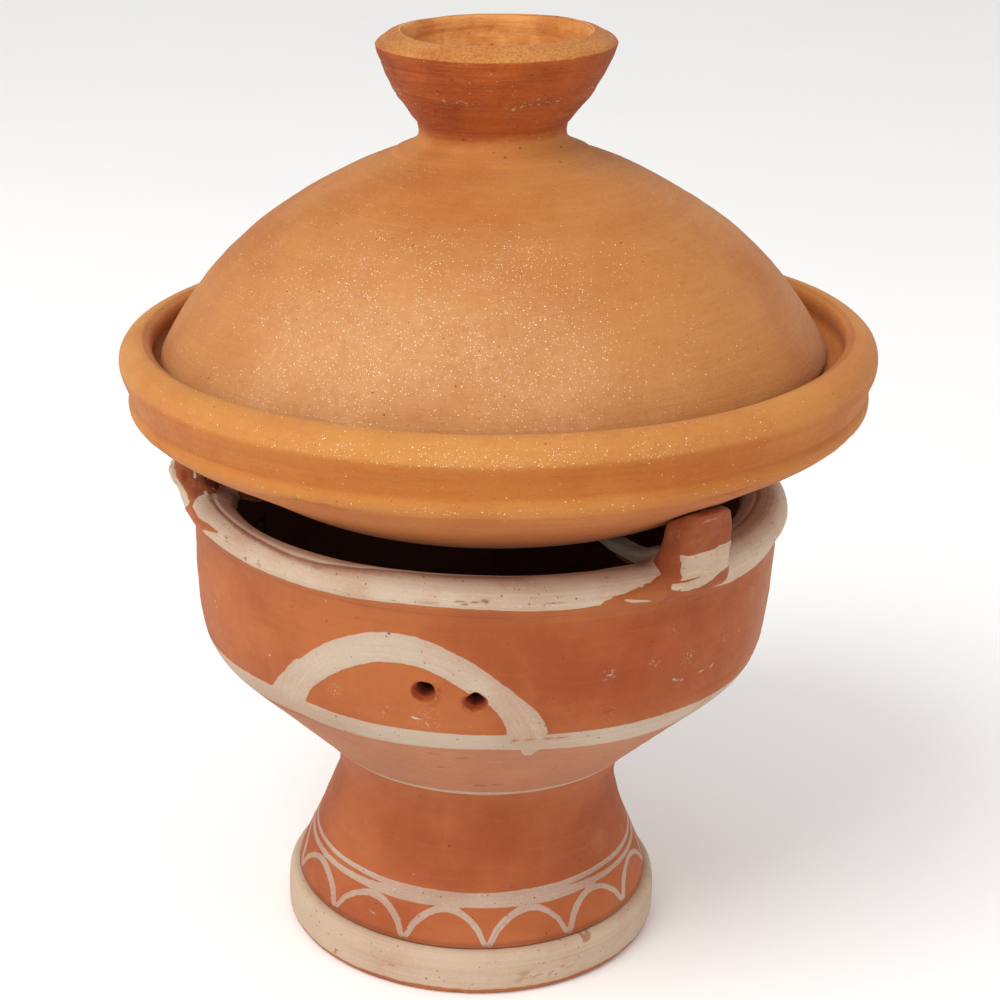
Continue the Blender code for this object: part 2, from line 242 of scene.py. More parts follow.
def thrown(name, loop, segments, spacing, relief, shift=None, closed=True):
    """Spin a profile; relief(phi, s, r, z) is how far the clay stands proud, in mm.

    Points come back as a mesh in the piece's own frame, in metres.
    """
    rows = smooth_loop(loop, spacing, closed)
    on_axis = rows[:, 0] < 1e-6
    rows = rows[~(on_axis & np.roll(on_axis, 1) & np.roll(on_axis, -1))]
    m = len(rows)
    nxt, prv = np.roll(rows, -1, 0), np.roll(rows, 1, 0)
    if not closed:
        nxt[-1], prv[0] = rows[-1], rows[0]
    tan = nxt - prv
    tan /= np.maximum(np.linalg.norm(tan, axis=1, keepdims=True), 1e-9)
    r, z = rows[:, 0], rows[:, 1]
    area = 0.5 * np.sum(r * np.roll(z, -1) - np.roll(r, -1) * z)
    turn = 1.0 if area > 0 else -1.0
    normal = np.stack([tan[:, 1], -tan[:, 0]], 1) * turn
    s = np.concatenate([[0], np.cumsum(np.linalg.norm(np.diff(rows, axis=0), axis=1))])
    phi = np.arange(segments) * (2 * math.pi / segments)
    P, S = np.meshgrid(phi, s)
    R = np.repeat(r[:, None], segments, 1)
    Z = np.repeat(z[:, None], segments, 1)
    d = relief(np.degrees(wrap_rad(P)), S, R, Z)
    d = d * np.clip(R / 8.0, 0, 1)
    R2, Z2 = R + normal[:, :1] * d, Z + normal[:, 1:] * d
    R2 = np.where(R < 1e-6, 0.0, np.maximum(R2, 0.05))
    x, y = R2 * np.sin(P), -R2 * np.cos(P)
    if shift is not None:
        dx, dz = shift(y, Z2)
        x, Z2 = x + dx, Z2 + dz
    verts, index = [], np.empty((m, segments), int)
    at = 0
    attr_s = []
    for i in range(m):
        if r[i] < 1e-6:
            verts.append([[x[i].mean(), y[i].mean(), Z2[i].mean()]])
            index[i] = at
            attr_s.append([s[i]])
            at += 1
        else:
            verts.append(np.stack([x[i], y[i], Z2[i]], 1))
            index[i] = at + np.arange(segments)
            attr_s.append(np.full(segments, s[i]))
            at += segments
    verts = np.concatenate([np.asarray(v) for v in verts]) * MM
    quads, tris = [], []
    for i in range(m if closed else m - 1):
        a, b = index[i], index[(i + 1) % m]
        a1, b1 = np.roll(a, -1), np.roll(b, -1)
        pole_a, pole_b = r[i] < 1e-6, r[(i + 1) % m] < 1e-6
        if pole_a and pole_b:
            continue
        if pole_a:
            face = np.stack([a, b1, b], 1)
        elif pole_b:
            face = np.stack([a, a1, b], 1)
        else:
            face = np.stack([a, a1, b1, b], 1)
        if turn < 0:
            face = face[:, ::-1]
        (tris if face.shape[1] == 3 else quads).append(face)
    polys = [np.concatenate(quads)] + ([np.concatenate(tris)] if tris else [])
    obj = mesh_object(name, verts, polys)
    give(obj, "s", np.concatenate(attr_s) * MM)
    give(obj, "loc", coords(obj))
    return obj


def wrap_rad(p):
    return (p + math.pi) % (2 * math.pi) - math.pi


def rings_of(phi, s, coarse, fine, seed):
    """Throwing marks: ridges that run round, a little uneven."""
    c, n = np.cos(np.radians(phi)), np.sin(np.radians(phi))
    lift = s + 0.7 * c + 0.4 * n + phi * 0.004
    return (coarse * noise(c * 0.7, n * 0.7, lift / 7.0, seed)
            + 0.6 * coarse * noise(c * 0.9, n * 0.9, lift / 3.1, seed + 3)
            + fine * noise(c * 1.6, n * 1.6, lift / 1.25, seed + 5))


def hand(phi, s, amount, lobes, seed):
    """The slow unevenness of a pot turned by hand."""
    c, n = np.cos(np.radians(phi)), np.sin(np.radians(phi))
    return amount * noise(c * lobes, n * lobes, s / 55.0, seed)


def foot_lean(y, z):
    return FOOT_SHIFT * (1.0 - ramp(z, 46.0, 83.0)), 0.0 * z


def knob_lean(y, z):
    return (1.6 * ramp(z, 333.0, 375.0), (0.9 + y * 0.028) * ramp(z, 350.0, 374.0))


# ------------------------------------------------------- painted decoration
BOWL_MM = 116.5 * math.pi / 180.0      # mm along the bowl's wall for one degree
FOOT_MM = 72.0 * math.pi / 180.0
RIM_START = 20.2                       # mm round the rim's section to its lower outer edge
RIM_MM = 120.0 * math.pi / 180.0


def stroke(x, y, points):
    """Signed depth inside a brush stroke (mm), and the way along and across it.

    points are (x, y, half width) down the middle of the stroke.
    """
    best = np.full(x.shape, -1e9)
    along = np.zeros(x.shape)
    across = np.zeros(x.shape)
    run = 0.0
    for (ax, ay, aw), (bx, by, bw) in zip(points, points[1:]):
        dx, dy = bx - ax, by - ay
        size = math.hypot(dx, dy)
        t = np.clip(((x - ax) * dx + (y - ay) * dy) / size ** 2, 0, 1)
        ex, ey = x - ax - t * dx, y - ay - t * dy
        depth = aw + (bw - aw) * t - np.hypot(ex, ey)
        side = (dx * ey - dy * ex) / size
        closer = depth > best
        best = np.where(closer, depth, best)
        along = np.where(closer, run + t * size, along)
        across = np.where(closer, side, across)
        run += size
    return best, along, across


def patch(x, y, outline):
    """Signed depth inside a closed outline, in mm."""
    points = np.array(outline, float)
    best = np.full(x.shape, 1e9)
    inside = np.zeros(x.shape, bool)
    for (ax, ay), (bx, by) in zip(points, np.roll(points, -1, 0)):
        dx, dy = bx - ax, by - ay
        t = np.clip(((x - ax) * dx + (y - ay) * dy) / max(dx * dx + dy * dy, 1e-12), 0, 1)
        best = np.minimum(best, np.hypot(x - ax - t * dx, y - ay - t * dy))
        if ay != by:
            inside ^= ((ay > y) != (by > y)) & (x < (bx - ax) * (y - ay) / (by - ay) + ax)
    return np.where(inside, best, -best)


def arc_points(start, end, height, base, width0, width1, lean=0.0, count=15):
    """Middle line of a painted arch between two azimuths (mm along the wall)."""
    mid, half = (start + end) / 2, (end - start) / 2
    points = []
    for k in range(count):
        t = math.pi * k / (count - 1)
        x = mid - half * math.cos(t) + lean * math.sin(t) ** 2
        y = base + height * math.sin(t)
        points.append((x, y, width0 + (width1 - width0) * abs(math.cos(t)) ** 2.5))
    return points


# the middle of the arch's brush stroke: azimuth from its own centre in degrees,
# height, half width; then its outline, outside and inside
ARCH = ((-24.4, 134.5, 7.6), (-23.7, 139.0, 8.1), (-22.2, 145.0, 7.4), (-19.9, 151.5, 6.6),
        (-16.9, 157.8, 6.3), (-13.0, 163.6, 6.1), (-8.5, 167.6, 6.1), (-3.9, 169.3, 6.2),
        (0.2, 169.6, 6.2), (4.2, 168.7, 6.2), (8.3, 166.2, 6.3), (12.2, 162.2, 6.4),
        (15.7, 156.8, 6.6), (18.9, 150.4, 6.8), (21.7, 143.2, 7.2), (23.4, 136.8, 7.6),
        (23.9, 133.0, 7.4))
ARCH_OUT = ((-29.6, 134.0), (-28.4, 139.1), (-26.6, 143.8), (-24.3, 148.6), (-22.7, 152.6), (-21.3, 155.4),
            (-20.2, 156.0), (-17.6, 161.0), (-14.7, 165.2), (-12.2, 168.5), (-9.4, 171.3), (-6.2, 173.8),
            (-2.8, 175.2), (0.4, 175.5), (3.5, 174.9), (6.7, 173.0), (9.6, 170.3), (13.7, 165.7),
            (17.2, 160.2), (19.6, 156.4), (21.8, 152.3), (24.1, 148.2), (25.9, 143.8), (26.9, 140.2),
            (27.5, 136.6), (27.6, 131.0))
ARCH_IN = ((20.1, 131.0), (19.9, 136.3), (19.6, 139.4), (19.0, 142.3), (17.9, 145.8), (16.6, 148.6),
           (14.8, 151.4), (12.7, 153.8), (10.3, 156.8), (7.8, 159.6), (5.7, 161.6), (3.5, 162.9),
           (0.8, 163.5), (-1.9, 163.3), (-4.0, 162.6), (-6.0, 161.3), (-8.5, 159.2), (-10.8, 156.6),
           (-13.9, 152.4), (-16.5, 147.9), (-17.8, 145.2), (-18.7, 142.6), (-19.8, 138.2), (-20.2, 134.0))
SPECKS = ((-62.7, 161.5, -61.2, 156.4, 0.45), (-43.0, 152.2, -42.9, 151.9, 0.7),
          (23.3, 158.3, 24.2, 158.8, 0.5), (-27.0, 146.0, -26.2, 145.4, 0.45),
          (38.0, 150.2, 39.2, 149.2, 0.6), (39.6, 148.8, 40.8, 148.8, 0.5),
          (45.0, 149.4, 46.5, 149.0, 0.45), (48.3, 149.2, 48.9, 150.2, 0.45),
          (56.6, 160.4, 57.4, 157.8, 0.35), (-12.4, 141.5, -11.0, 140.8, 0.5),
          (2.0, 116.6, 5.5, 115.8, 0.35), (-26.5, 112.0, -24.0, 111.7, 0.3),
          (96.0, 158.0, 97.0, 155.0, 0.5), (142.0, 150.0, 144.0, 151.0, 0.5),
          (172.0, 163.0, 174.0, 162.0, 0.5), (-131.0, 155.0, -129.0, 152.0, 0.6),
          (-98.0, 164.0, -97.5, 160.0, 0.45), (-166.0, 158.0, -164.0, 157.0, 0.5))


# where slip was spattered on the bare wall: azimuth, height, reach in mm, strength
FLAKES = ((23.4, 158.6, 3.4, 1.0), (33.0, 159.6, 3.2, 0.8), (41.0, 158.4, 4.6, 0.9), (42.0, 186.0, 3.5, 0.5),
          (-9.0, 141.0, 6.5, 0.7), (-27.5, 147.0, 3.4, 0.8), (-17.5, 143.0, 4.5, 0.6), (62.0, 172.0, 7.0, 0.6),
          (71.0, 160.0, 10.0, 0.7), (52.0, 160.0, 4.5, 0.6), (24.1, 142.5, 5.5, 0.6), (-80.0, 170.0, 6.0, 0.5),
          (118.0, 160.0, 6.0, 0.6), (165.0, 150.0, 7.0, 0.6), (-140.0, 166.0, 6.0, 0.6), (37.0, 172.0, 8.0, 0.35))


def bowl_slip(phi, r, z):
    """Slip on the bowl: signed depth in mm, and the brush's direction."""
    c, n = np.cos(np.radians(phi)), np.sin(np.radians(phi))
    wob = fbm(c * 2.2, n * 2.2, 0.3 + 0 * c, 2, 11)
    # the rim's band comes down a little onto the wall
    low = rim_edge(phi)
    band = z - low
    # waist stripe, from the wall's foot onto the cone
    top = np.interp(phi, (-180, -110, -70, -48, -40, -34, -27, -19, -8, 5, 15, 27, 42, 60, 90, 140, 180),
                    (135.6, 134.6, 136.6, 138.6, 138.6, 137.6, 136.2, 135.6, 135.8, 136.0, 135.2, 134.8,
                     135.0, 134.2, 133.8, 136.2, 135.6)) + 0.3 * wob
    bottom = np.interp(phi, (-180, -120, -75, -50, -38, -31, -23, -16, -6, 2, 16, 31, 50, 75, 120, 180),
                       (125.4, 126.6, 126.4, 127.6, 128.6, 126.4, 125.2, 125.4, 126.2, 126.9, 125.9, 123.4,
                        121.4, 122.0, 125.0, 125.4)) + 0.4 * noise(c * 3, n * 3, 0 * c, 12)
    mid, half = (top + bottom) / 2, (top - bottom) / 2
    waist = (half - np.abs(z - mid)) * 1.28
    seam = (1.5 + 0.3 * noise(c * 4, n * 4, 0 * c, 13) - np.abs(z - 85.4)) * 2.0
    best = np.maximum(np.maximum(band, waist), seam)
    bx, by, bz = c * 0.35, n * 0.35, z * 1.0
    for k, arch in enumerate(ARCHES):
        a = wrap(phi - arch)
        near = np.abs(a) < 45
        wide = 1.0 + (0.0, -0.05, 0.06)[k]
        tall = (0.0, -1.6, 1.2)[k]
        pts = [(x * wide * BOWL_MM, y + tall * ramp(y, 130, 160), w) for x, y, w in ARCH]
        x = np.where(near, a, 400) * BOWL_MM
        _, u, v = stroke(x, z, pts)
        outline = [(px * wide * BOWL_MM, py + tall * ramp(py, 130, 160)) for px, py in ARCH_OUT + ARCH_IN]
        d = patch(x, z, outline) + 0.16 * noise(x / 3.0, z / 3.0, 0 * x, 14 + k)
        drip = patch(x, z, [(px * BOWL_MM, py) for px, py in (
            (21.4, 134.0), (22.6, 128.0), (23.6, 123.6), (24.0, 121.9), (25.6, 121.7), (26.2, 124.2), (26.8, 126.4),
            (27.2, 129.2), (28.4, 134.0))]) + 0.25 * noise(x / 1.5, z / 1.5, 0 * x, 21)
        if k == 1:
            drip = drip - 4.0
        inarch = ramp(d, -1.0, 1.5)
        d = np.maximum(d, drip)
        bx = bx * (1 - inarch) + (u * 0.02 + 5 + k) * inarch
        by = by * (1 - inarch) + 0.5 * inarch
        bz = bz * (1 - inarch) + v * inarch
        best = np.maximum(best, d)
    for a0, z0, a1, z1, w in SPECKS:
        d, _, _ = stroke(wrap(phi - a0) * BOWL_MM, z, [(0, z0, w), (wrap(a1 - a0) * BOWL_MM, z1, w * 0.6)])
        best = np.maximum(best, d)
    inside = (r < 112.0) & (z > 95.0) & (r < 60 + (z - 84) * 1.05)
    best = np.where(inside & (z < 180), -20.0, best)
    return best, np.stack([bx, by, bz * MM * 1000], -1)


def rim_edge(phi):
    """Height of the lower edge of the rim's slip where it reaches the wall."""
    c, n = np.cos(np.radians(phi)), np.sin(np.radians(phi))
    return (189.5 - 4.6 * ramp(phi, 40, 56) * (1 - ramp(phi, 150, 175)) - 3.5 * ramp(-phi, 84, 100) * (1 - ramp(-phi, 150, 175))
            + 0.35 * noise(c * 3.3, n * 3.3, 0 * c, 21) + 0.25 * noise(c * 9, n * 9, 0 * c, 22))


def rim_foot(phi):
    """Where the rim's slip begins: mm round its section from the lower outer edge."""
    c, n = np.cos(np.radians(phi)), np.sin(np.radians(phi))
    return (np.interp(phi, (-180, -150, -110, -90, -75, -62, -53, -46, -39, -30, -23, -14, -6, 3, 10, 16, 20, 30, 44, 52,
                            90, 140, 180),
                      (4.2, 1.5, -1.0, 2.0, 6.0, 6.6, 5.4, 4.7, 3.5, 3.3, 3.8, 5.3, 5.3, 4.7, 4.0, 4.2, 5.2, 4.8,
                       0.5, -1.5, -1.0, 2.0, 4.2))
            + 0.22 * noise(c * 12, n * 12, 0 * c, 42) + 0.12 * noise(c * 34, n * 34, 0 * c, 43))


def foot_slip(phi, z):
    """Two stripes and the row of scallops below them."""
    c, n = np.cos(np.radians(phi)), np.sin(np.radians(phi))
    wob = 0.25 * noise(c * 3, n * 3, 0 * c, 31)
    split = ramp(np.abs(wrap(phi - 2)), 14, 58)
    top = 40.7 + wob
    one = (top - z, z - (top - 2.3 + 0.5 * split))
    low = 34.8 + 0.3 * noise(c * 2, n * 2, 0 * c, 32) + 0.3 * split
    two = (top - 2.2 - 1.3 * split - z, z - low)
    upper = np.minimum(*one)
    lower = np.minimum(*two)
    merged = np.maximum(upper, lower) + (1 - split) * 0.55 * bump(z, 38.3, 0.6)
    best = merged * 1.05
    bx, by, bz = c * 0.3, n * 0.3, z * 1.0
    cusps = [4.3, 31.8, 58.6, 86.0, 113.6, 141.5, 169.0, 196.5, 224.4, 252.4, 281.8, 310.4, 337.8]
    for k, start in enumerate(cusps):
        end = cusps[(k + 1) % len(cusps)]
        span = wrap(end - start) * FOOT_MM
        a = wrap(phi - start)
        x = np.where((a > -6) & (a < 34), a, 400) * FOOT_MM
        tilt = (0.8, -0.6, 0.4, -0.9, 0.2, 0.7, -0.4, 0.5, -0.7, 0.3, -0.5, 0.6, -0.2)[k]
        high = (34.0, 33.9, 33.4, 33.8, 34.3, 33.5, 34.1, 33.6, 34.2, 33.7, 33.4, 33.6, 34.4)[k]
        foot0 = (21.4, 21.8, 23.4, 24.0, 22.4, 21.6, 22.2, 22.9, 21.5, 22.4, 22.3, 22.8, 21.9)[k]
        foot1 = (21.4, 21.8, 23.4, 24.0, 22.4, 21.6, 22.2, 22.9, 21.5, 22.4, 22.3, 22.8, 21.9)[(k + 1) % 13]
        pts = []
        for j in range(13):
            t = j / 12.0
            arc = math.sin(math.pi * t) ** 0.62
            base = foot0 + (foot1 - foot0) * t
            wide = 1.22 + 0.22 * math.sin(5.1 * t + k) + (0.15 if j in (1, 2, 11) else 0.0)
            pts.append((1.0 + (span - 2.0) * t + tilt * math.sin(math.pi * t),
                        base + (high - base) * arc, wide))
        d, u, v = stroke(x, z, pts)
        bx = np.where(d > best, u * 0.02 + 9 + k, bx)
        by = np.where(d > best, 0.7, by)
        bz = np.where(d > best, v, bz)
        best = np.maximum(best, d)
    scuff, _, _ = stroke(wrap(phi + 34.5) * FOOT_MM, z, [(-2.0, 27.6, 0.5), (1.0, 26.6, 1.0), (2.6, 26.2, 0.4)])
    best = np.maximum(best, scuff - 0.55)
    seam = z - (84.1 + 0.3 * noise(c * 4, n * 4, 0 * c, 33))
    best = np.maximum(best, seam)
    return best, np.stack([bx, by, bz], -1)


# the clay smeared from the right lug over the rim: azimuth, mm up round the
# rim's section from its lower edge, half width
SMEAR = ((20.4, 7.4), (22.6, 8.2), (25.0, 9.0), (29.2, 11.1), (32.7, 13.8), (34.4, 16.6), (35.0, 19.4), (35.6, 25.0),
         (46.5, 25.0), (47.4, 16.0), (47.0, 8.0), (45.0, 1.0), (44.0, -5.0), (20.6, -5.0), (20.2, 4.6))
SMEAR_CREAM = ((24.6, 6.6, 0.4), (26.4, 5.0, 0.9), (28.8, 3.6, 0.8), (30.4, 2.4, 0.4))


def rim_line(phi):
    """The dark line scored round the rim's top, in mm round the section."""
    return np.interp(phi, (-180, -110, -75, -57, -47, -37, -31, -25, -19, -12.6, -5, 4, 20, 45, 80, 120, 180),
                     (22, 21, 19.6, 18.2, 16.6, 15.0, 15.2, 16.8, 20.0, 23.0, 24.2, 24.8, 25.2, 24.5, 23.5, 23, 22))


def rim_rub(phi, t):
    """How far the slip is rubbed off the rim's top."""
    c, n = np.cos(np.radians(phi)), np.sin(np.radians(phi))
    start = np.interp(phi, (-180, -110, -75, -57, -43, -32, -23, -11, 0, 10, 21, 35, 50, 80, 120, 180),
                      (16, 16.5, 16, 15.0, 12.4, 9.6, 10.6, 13.0, 13.6, 13.6, 14.8, 15.5, 13.0, 12.0, 15.0, 16.0))
    line = rim_line(phi)
    rub = ramp(t, start, np.maximum(line - 0.4, start + 1.5)) ** 1.2 * (1 - ramp(t, line, line + 0.9))
    right = ramp(phi, 40, 52) * (1 - ramp(phi, 150, 170))
    rub = np.maximum(rub, right * ramp(t, start, start + 7))
    rub = rub * (0.82 + 0.3 * noise(c * 3, n * 3, 0 * c, 44))
    rub = rub * ramp(t, 0.0, 2.0)
    rub = np.maximum(rub, 0.42 * ramp(t, line + 1.2, line + 2.6) * (1 - ramp(phi, 40, 60)))
    return np.maximum(rub, 0.5 * ramp(t, 33.0, 38.0))


def rim_narrow(phi, r):
    """The mouth is thrown a little wider at the left front."""
    w = bump(wrap(phi + 50), 0, 24) + 0.4 * bump(wrap(phi + 24), 0, 12)
    return 4.0 * np.minimum(w, 1) * (1 - ramp(r, 103.5, 116.0))


def rim_slip(phi, t):
    """Slip on the rim; t is mm round the section from its lower outer edge."""
    c, n = np.cos(np.radians(phi)), np.sin(np.radians(phi))
    best = np.where(t < 22, t - rim_foot(phi), 6.0)
    for name, azimuth, *_ in LUGS:
        a = wrap(phi - azimuth)
        x = np.where(np.abs(a) < 50, a, 400) * RIM_MM
        flip = {"lug_right": 1.0, "lug_back": -1.0, "lug_left": -1.0}[name]
        if name == "lug_left":
            pts = [(-a0 * RIM_MM, b, w) for a0, b, w in ((-22.8, 10.6, 0.3), (-18.5, 9.6, 1.3),
                                                       (-14.5, 7.6, 2.3), (-9.0, 6.4, 4.2), (-4.0, 6.5, 5.0))]
            d, _, _ = stroke(x, t, pts)
            best = np.minimum(best, -d)
            core, _, _ = stroke(x, t, [(-6 * RIM_MM, 9, 6.0), (6 * RIM_MM, 9, 6.0)])
            best = np.minimum(best, -core)
        else:
            ragged = 0.45 * noise(x / 1.7, t / 1.7, 0 * x, 46) + 0.25 * noise(x / 0.8, t / 0.8, 0 * x, 47)
            d = patch(x, t, [((a0 - 40.4) * flip * RIM_MM, b) for a0, b in SMEAR])
            best = np.minimum(best, -d - ragged * (np.abs(x) > 9))
            cream, _, _ = stroke(x, t, [((a0 - 40.4) * flip * RIM_MM, b, w) for a0, b, w in SMEAR_CREAM])
            best = np.maximum(best, cream)
    return best


# -------------------------------------------------------------- turned pieces
def slip_relief(depth, thick=0.09):
    """Slip stands proud of the clay by its own thickness."""
    return thick * ramp(depth, -0.6, 0.7)


def ring_relief(phi, s, r, z):
    c, n = np.cos(np.radians(phi)), np.sin(np.radians(phi))
    d = rings_of(phi, s, 0.10, 0.07, 51) - 0.05
    d += 0.12 * noise(c * 14, n * 14, s / 9.0, 52) * (z > 1.0)
    # knocks along the lower edge and where it is worn at the right front
    knock = np.maximum(noise(c * 16, n * 16, s / 6.0, 53) - 0.52, 0) * bump(z, 1.4, 2.6)
    worn = bump(wrap(phi - 30), 0, 13) * bump(z, 7.0, 4.0)
    pits = np.maximum(noise(c * 34, n * 34, s / 1.3, 54) - 0.25, 0)
    return (d - 1.6 * knock - 0.9 * worn * pits) * np.where(z < 0.35, 0.0, 1.0) * np.where(r < 74, 0.2, 1.0)


def foot_relief(phi, s, r, z):
    depth, _ = foot_slip(phi, z)
    outer = np.where(s < 71.0, 1.0, 0.2)
    d = rings_of(phi, s, 0.10, 0.04, 61) + hand(phi, s, 0.15, 1.3, 62)
    return d * outer + np.where(s < 68.0, slip_relief(depth, 0.12), 0.0)


def bowl_relief(phi, s, r, z):
    depth, _ = bowl_slip(phi, r + 30, z)
    outer = np.where(s < 182.0, 1.0, 0.25)
    fade = ramp(z, 84.0, 92.0)
    d = rings_of(phi, s, 0.12, 0.045, 71) + hand(phi, s, 0.3, 1.2, 72) * (1 - ramp(z, 165, 184)) * fade
    # a shallow turning line low on the wall, and a soft step under the rim
    d -= 0.22 * bump(z, 140.6, 0.8) + 0.12 * bump(z, 178.2, 1.1)
    return d * outer * fade + np.where((s > 11) & (s < 182.0), slip_relief(depth, 0.10), 0.0)


def rim_relief(phi, s, r, z):
    t = s - RIM_START
    depth = rim_slip(phi, t)
    c, n = np.cos(np.radians(phi)), np.sin(np.radians(phi))
    d = 0.55 * rings_of(phi, s, 0.16, 0.06, 81) + 0.18 * noise(c * 11, n * 11, s / 6.0, 82)
    d += 0.55 * ramp(-depth, -0.2, 1.6) * (t > 1.0) * (t < 22)     # smeared clay
    d += slip_relief(depth, 0.12)
    d -= 0.40 * bump(t, rim_line(phi), 0.7)
    return np.where(t < -1.0, 0.0, d) * np.where(t > 30.0, 0.4, 1.0)


def dish_relief(phi, s, r, z):
    c, n = np.cos(np.radians(phi)), np.sin(np.radians(phi))
    d = rings_of(phi, s, 0.17, 0.07, 91) - 0.16
    d += 0.28 * noise(c * 2.3, n * 2.3, s / 40.0, 92) * ramp(r, 128, 141) * (z > 225)
    # turning lines on both rolls, and cracks along the lower one's edge
    run = noise(c * 5.0, n * 5.0, 0 * c, 93)
    front = bump(wrap(phi + 2), 0, 36)
    d -= 0.55 * bump(z, 239.9, 0.8) * (0.55 + 0.45 * run) * (1 - 0.95 * front)
    d += 0.75 * bump(z, 240.2, 3.6) * front * (s < 60)
    d += 0.42 * front * ramp(z, 251.7, 252.5) * (1 - ramp(z, 254.5, 259)) * (s < 30)
    d -= 0.22 * bump(z, 246.8, 0.6) * ramp(run, -0.2, 0.4)
    torn = ramp(noise(c * 7.0, n * 7.0, 0.4 + 0 * c, 94), 0.0, 0.45)
    zig = 232.9 + 0.5 * noise(c * 30, n * 30, 0 * c, 95)
    d -= 0.95 * torn * bump(z, zig, 0.6) * (s < 90)
    d -= 0.9 * np.maximum(noise(c * 60, n * 60, s / 2.0, 96) - 0.45, 0) * torn * bump(z, 231.5, 2.5)
    d -= 0.30 * bump(z, 211.0, 0.9) * (s < 120) + 0.2 * bump(z, 222.6, 0.8) * (s < 90)
    ledge = (z > 248.5) & (r < 136.9) & (s > 200)
    return np.where(ledge, 0.15 * d, d) * np.where(z < 200.2, 0.25, 1.0)


def lid_relief(phi, s, r, z):
    c, n = np.cos(np.radians(phi)), np.sin(np.radians(phi))
    d = rings_of(phi, s, 0.13, 0.05, 101) + 0.35 * noise(c * 1.1, n * 1.1, s / 45.0, 102)
    outer = s < 172.0
    edge = ramp(r, 118.0, 129.0)
    d = d * (1 - 0.7 * edge) - 0.12
    nick = np.maximum(noise(c * 22, n * 22, s / 4.0, 103) - 0.5, 0) * bump(z, 252.5, 1.8)
    return np.where(outer, d - 0.9 * nick, 0.4 * d) * ramp(r, 20, 36)


def knob_relief(phi, s, r, z):
    c, n = np.cos(np.radians(phi)), np.sin(np.radians(phi))
    d = rings_of(phi, s, 0.26, 0.10, 111) - 0.06
    d += 0.30 * noise(c * 3.0, n * 3.0, s / 14.0, 112) * ramp(z, 345, 366)
    d -= 0.42 * bump(z, 364.6, 0.5) * ramp(noise(c * 3, n * 3, 0 * c, 113), -0.5, 0.3) * (r > 37)
    d -= 0.40 * bump(z, 352.6, 0.45) * ramp(noise(c * 3, n * 3, 0 * c, 114), -0.4, 0.4) * (r > 30)
    d -= 0.30 * bump(z, 341.4, 0.5) * (r > 20) * (r < 40)
    d += 0.35 * bump(z, 374.6, 1.6) * noise(c * 4, n * 4, 0 * c, 115)
    d -= 1.2 * np.maximum(noise(c * 15, n * 15, s / 3.6, 116) - 0.58, 0) * ramp(z, 343, 350)
    return d * ramp(z, 331.5, 336.0) - np.where(z < 331.0, 0.1, 0.0)


def even(fine, coarse, test):
    return lambda mid, i: fine if test(mid, i) else coarse


def build_turned():
    made = {}
    made["foot_ring"] = thrown("ring_turned", RING, 448, even(0.8, 2.2, lambda m, i: 0 < i < 9),
                               ring_relief, foot_lean)
    made["pedestal"] = thrown("pedestal_turned", FOOT, 640,
                              lambda m, i: (0.62 if m[1] < 44 else 1.3) if i < 12 else 4.0,
                              foot_relief, foot_lean)
    made["brazier_bowl"] = thrown("bowl_turned", BOWL + BOWL_IN, 560,
                                  lambda m, i: (1.0 if m[1] > 119 else 1.15) if 0 < i < 16 else 4.5,
                                  bowl_relief)
    made["brazier_rim"] = thrown("rim_turned", RIM, 640, even(0.62, 2.0, lambda m, i: 1 < i < 17),
                                 rim_relief)
    made["dish"] = thrown("dish_turned", DISH + DISH_IN, 512,
                          lambda m, i: (0.95 if m[1] > 224 else 1.9) if i < 18 else
                          (6.0 if i < 24 else 2.6), dish_relief)
    made["lid_dome"] = thrown("lid_turned", LID + LID_IN, 512,
                              lambda m, i: 1.55 if 0 < i < 19 else 6.5, lid_relief)
    made["lid_knob"] = thrown("knob_turned", KNOB + KNOB_IN, 320,
                              lambda m, i: 0.62 if i < 17 or i > 20 else 2.2, knob_relief, knob_lean)
    return made


# ------------------------------------------------------------------ air holes
HOLES = ((4.5, 153.0, 4.9, 4.3, 1), (13.9, 150.2, 4.4, 3.9, 2))   # from the arch, height, half sizes


def hole_frame(arch, offset):
    return Matrix.Rotation(math.radians(arch + offset), 4, 'Z')


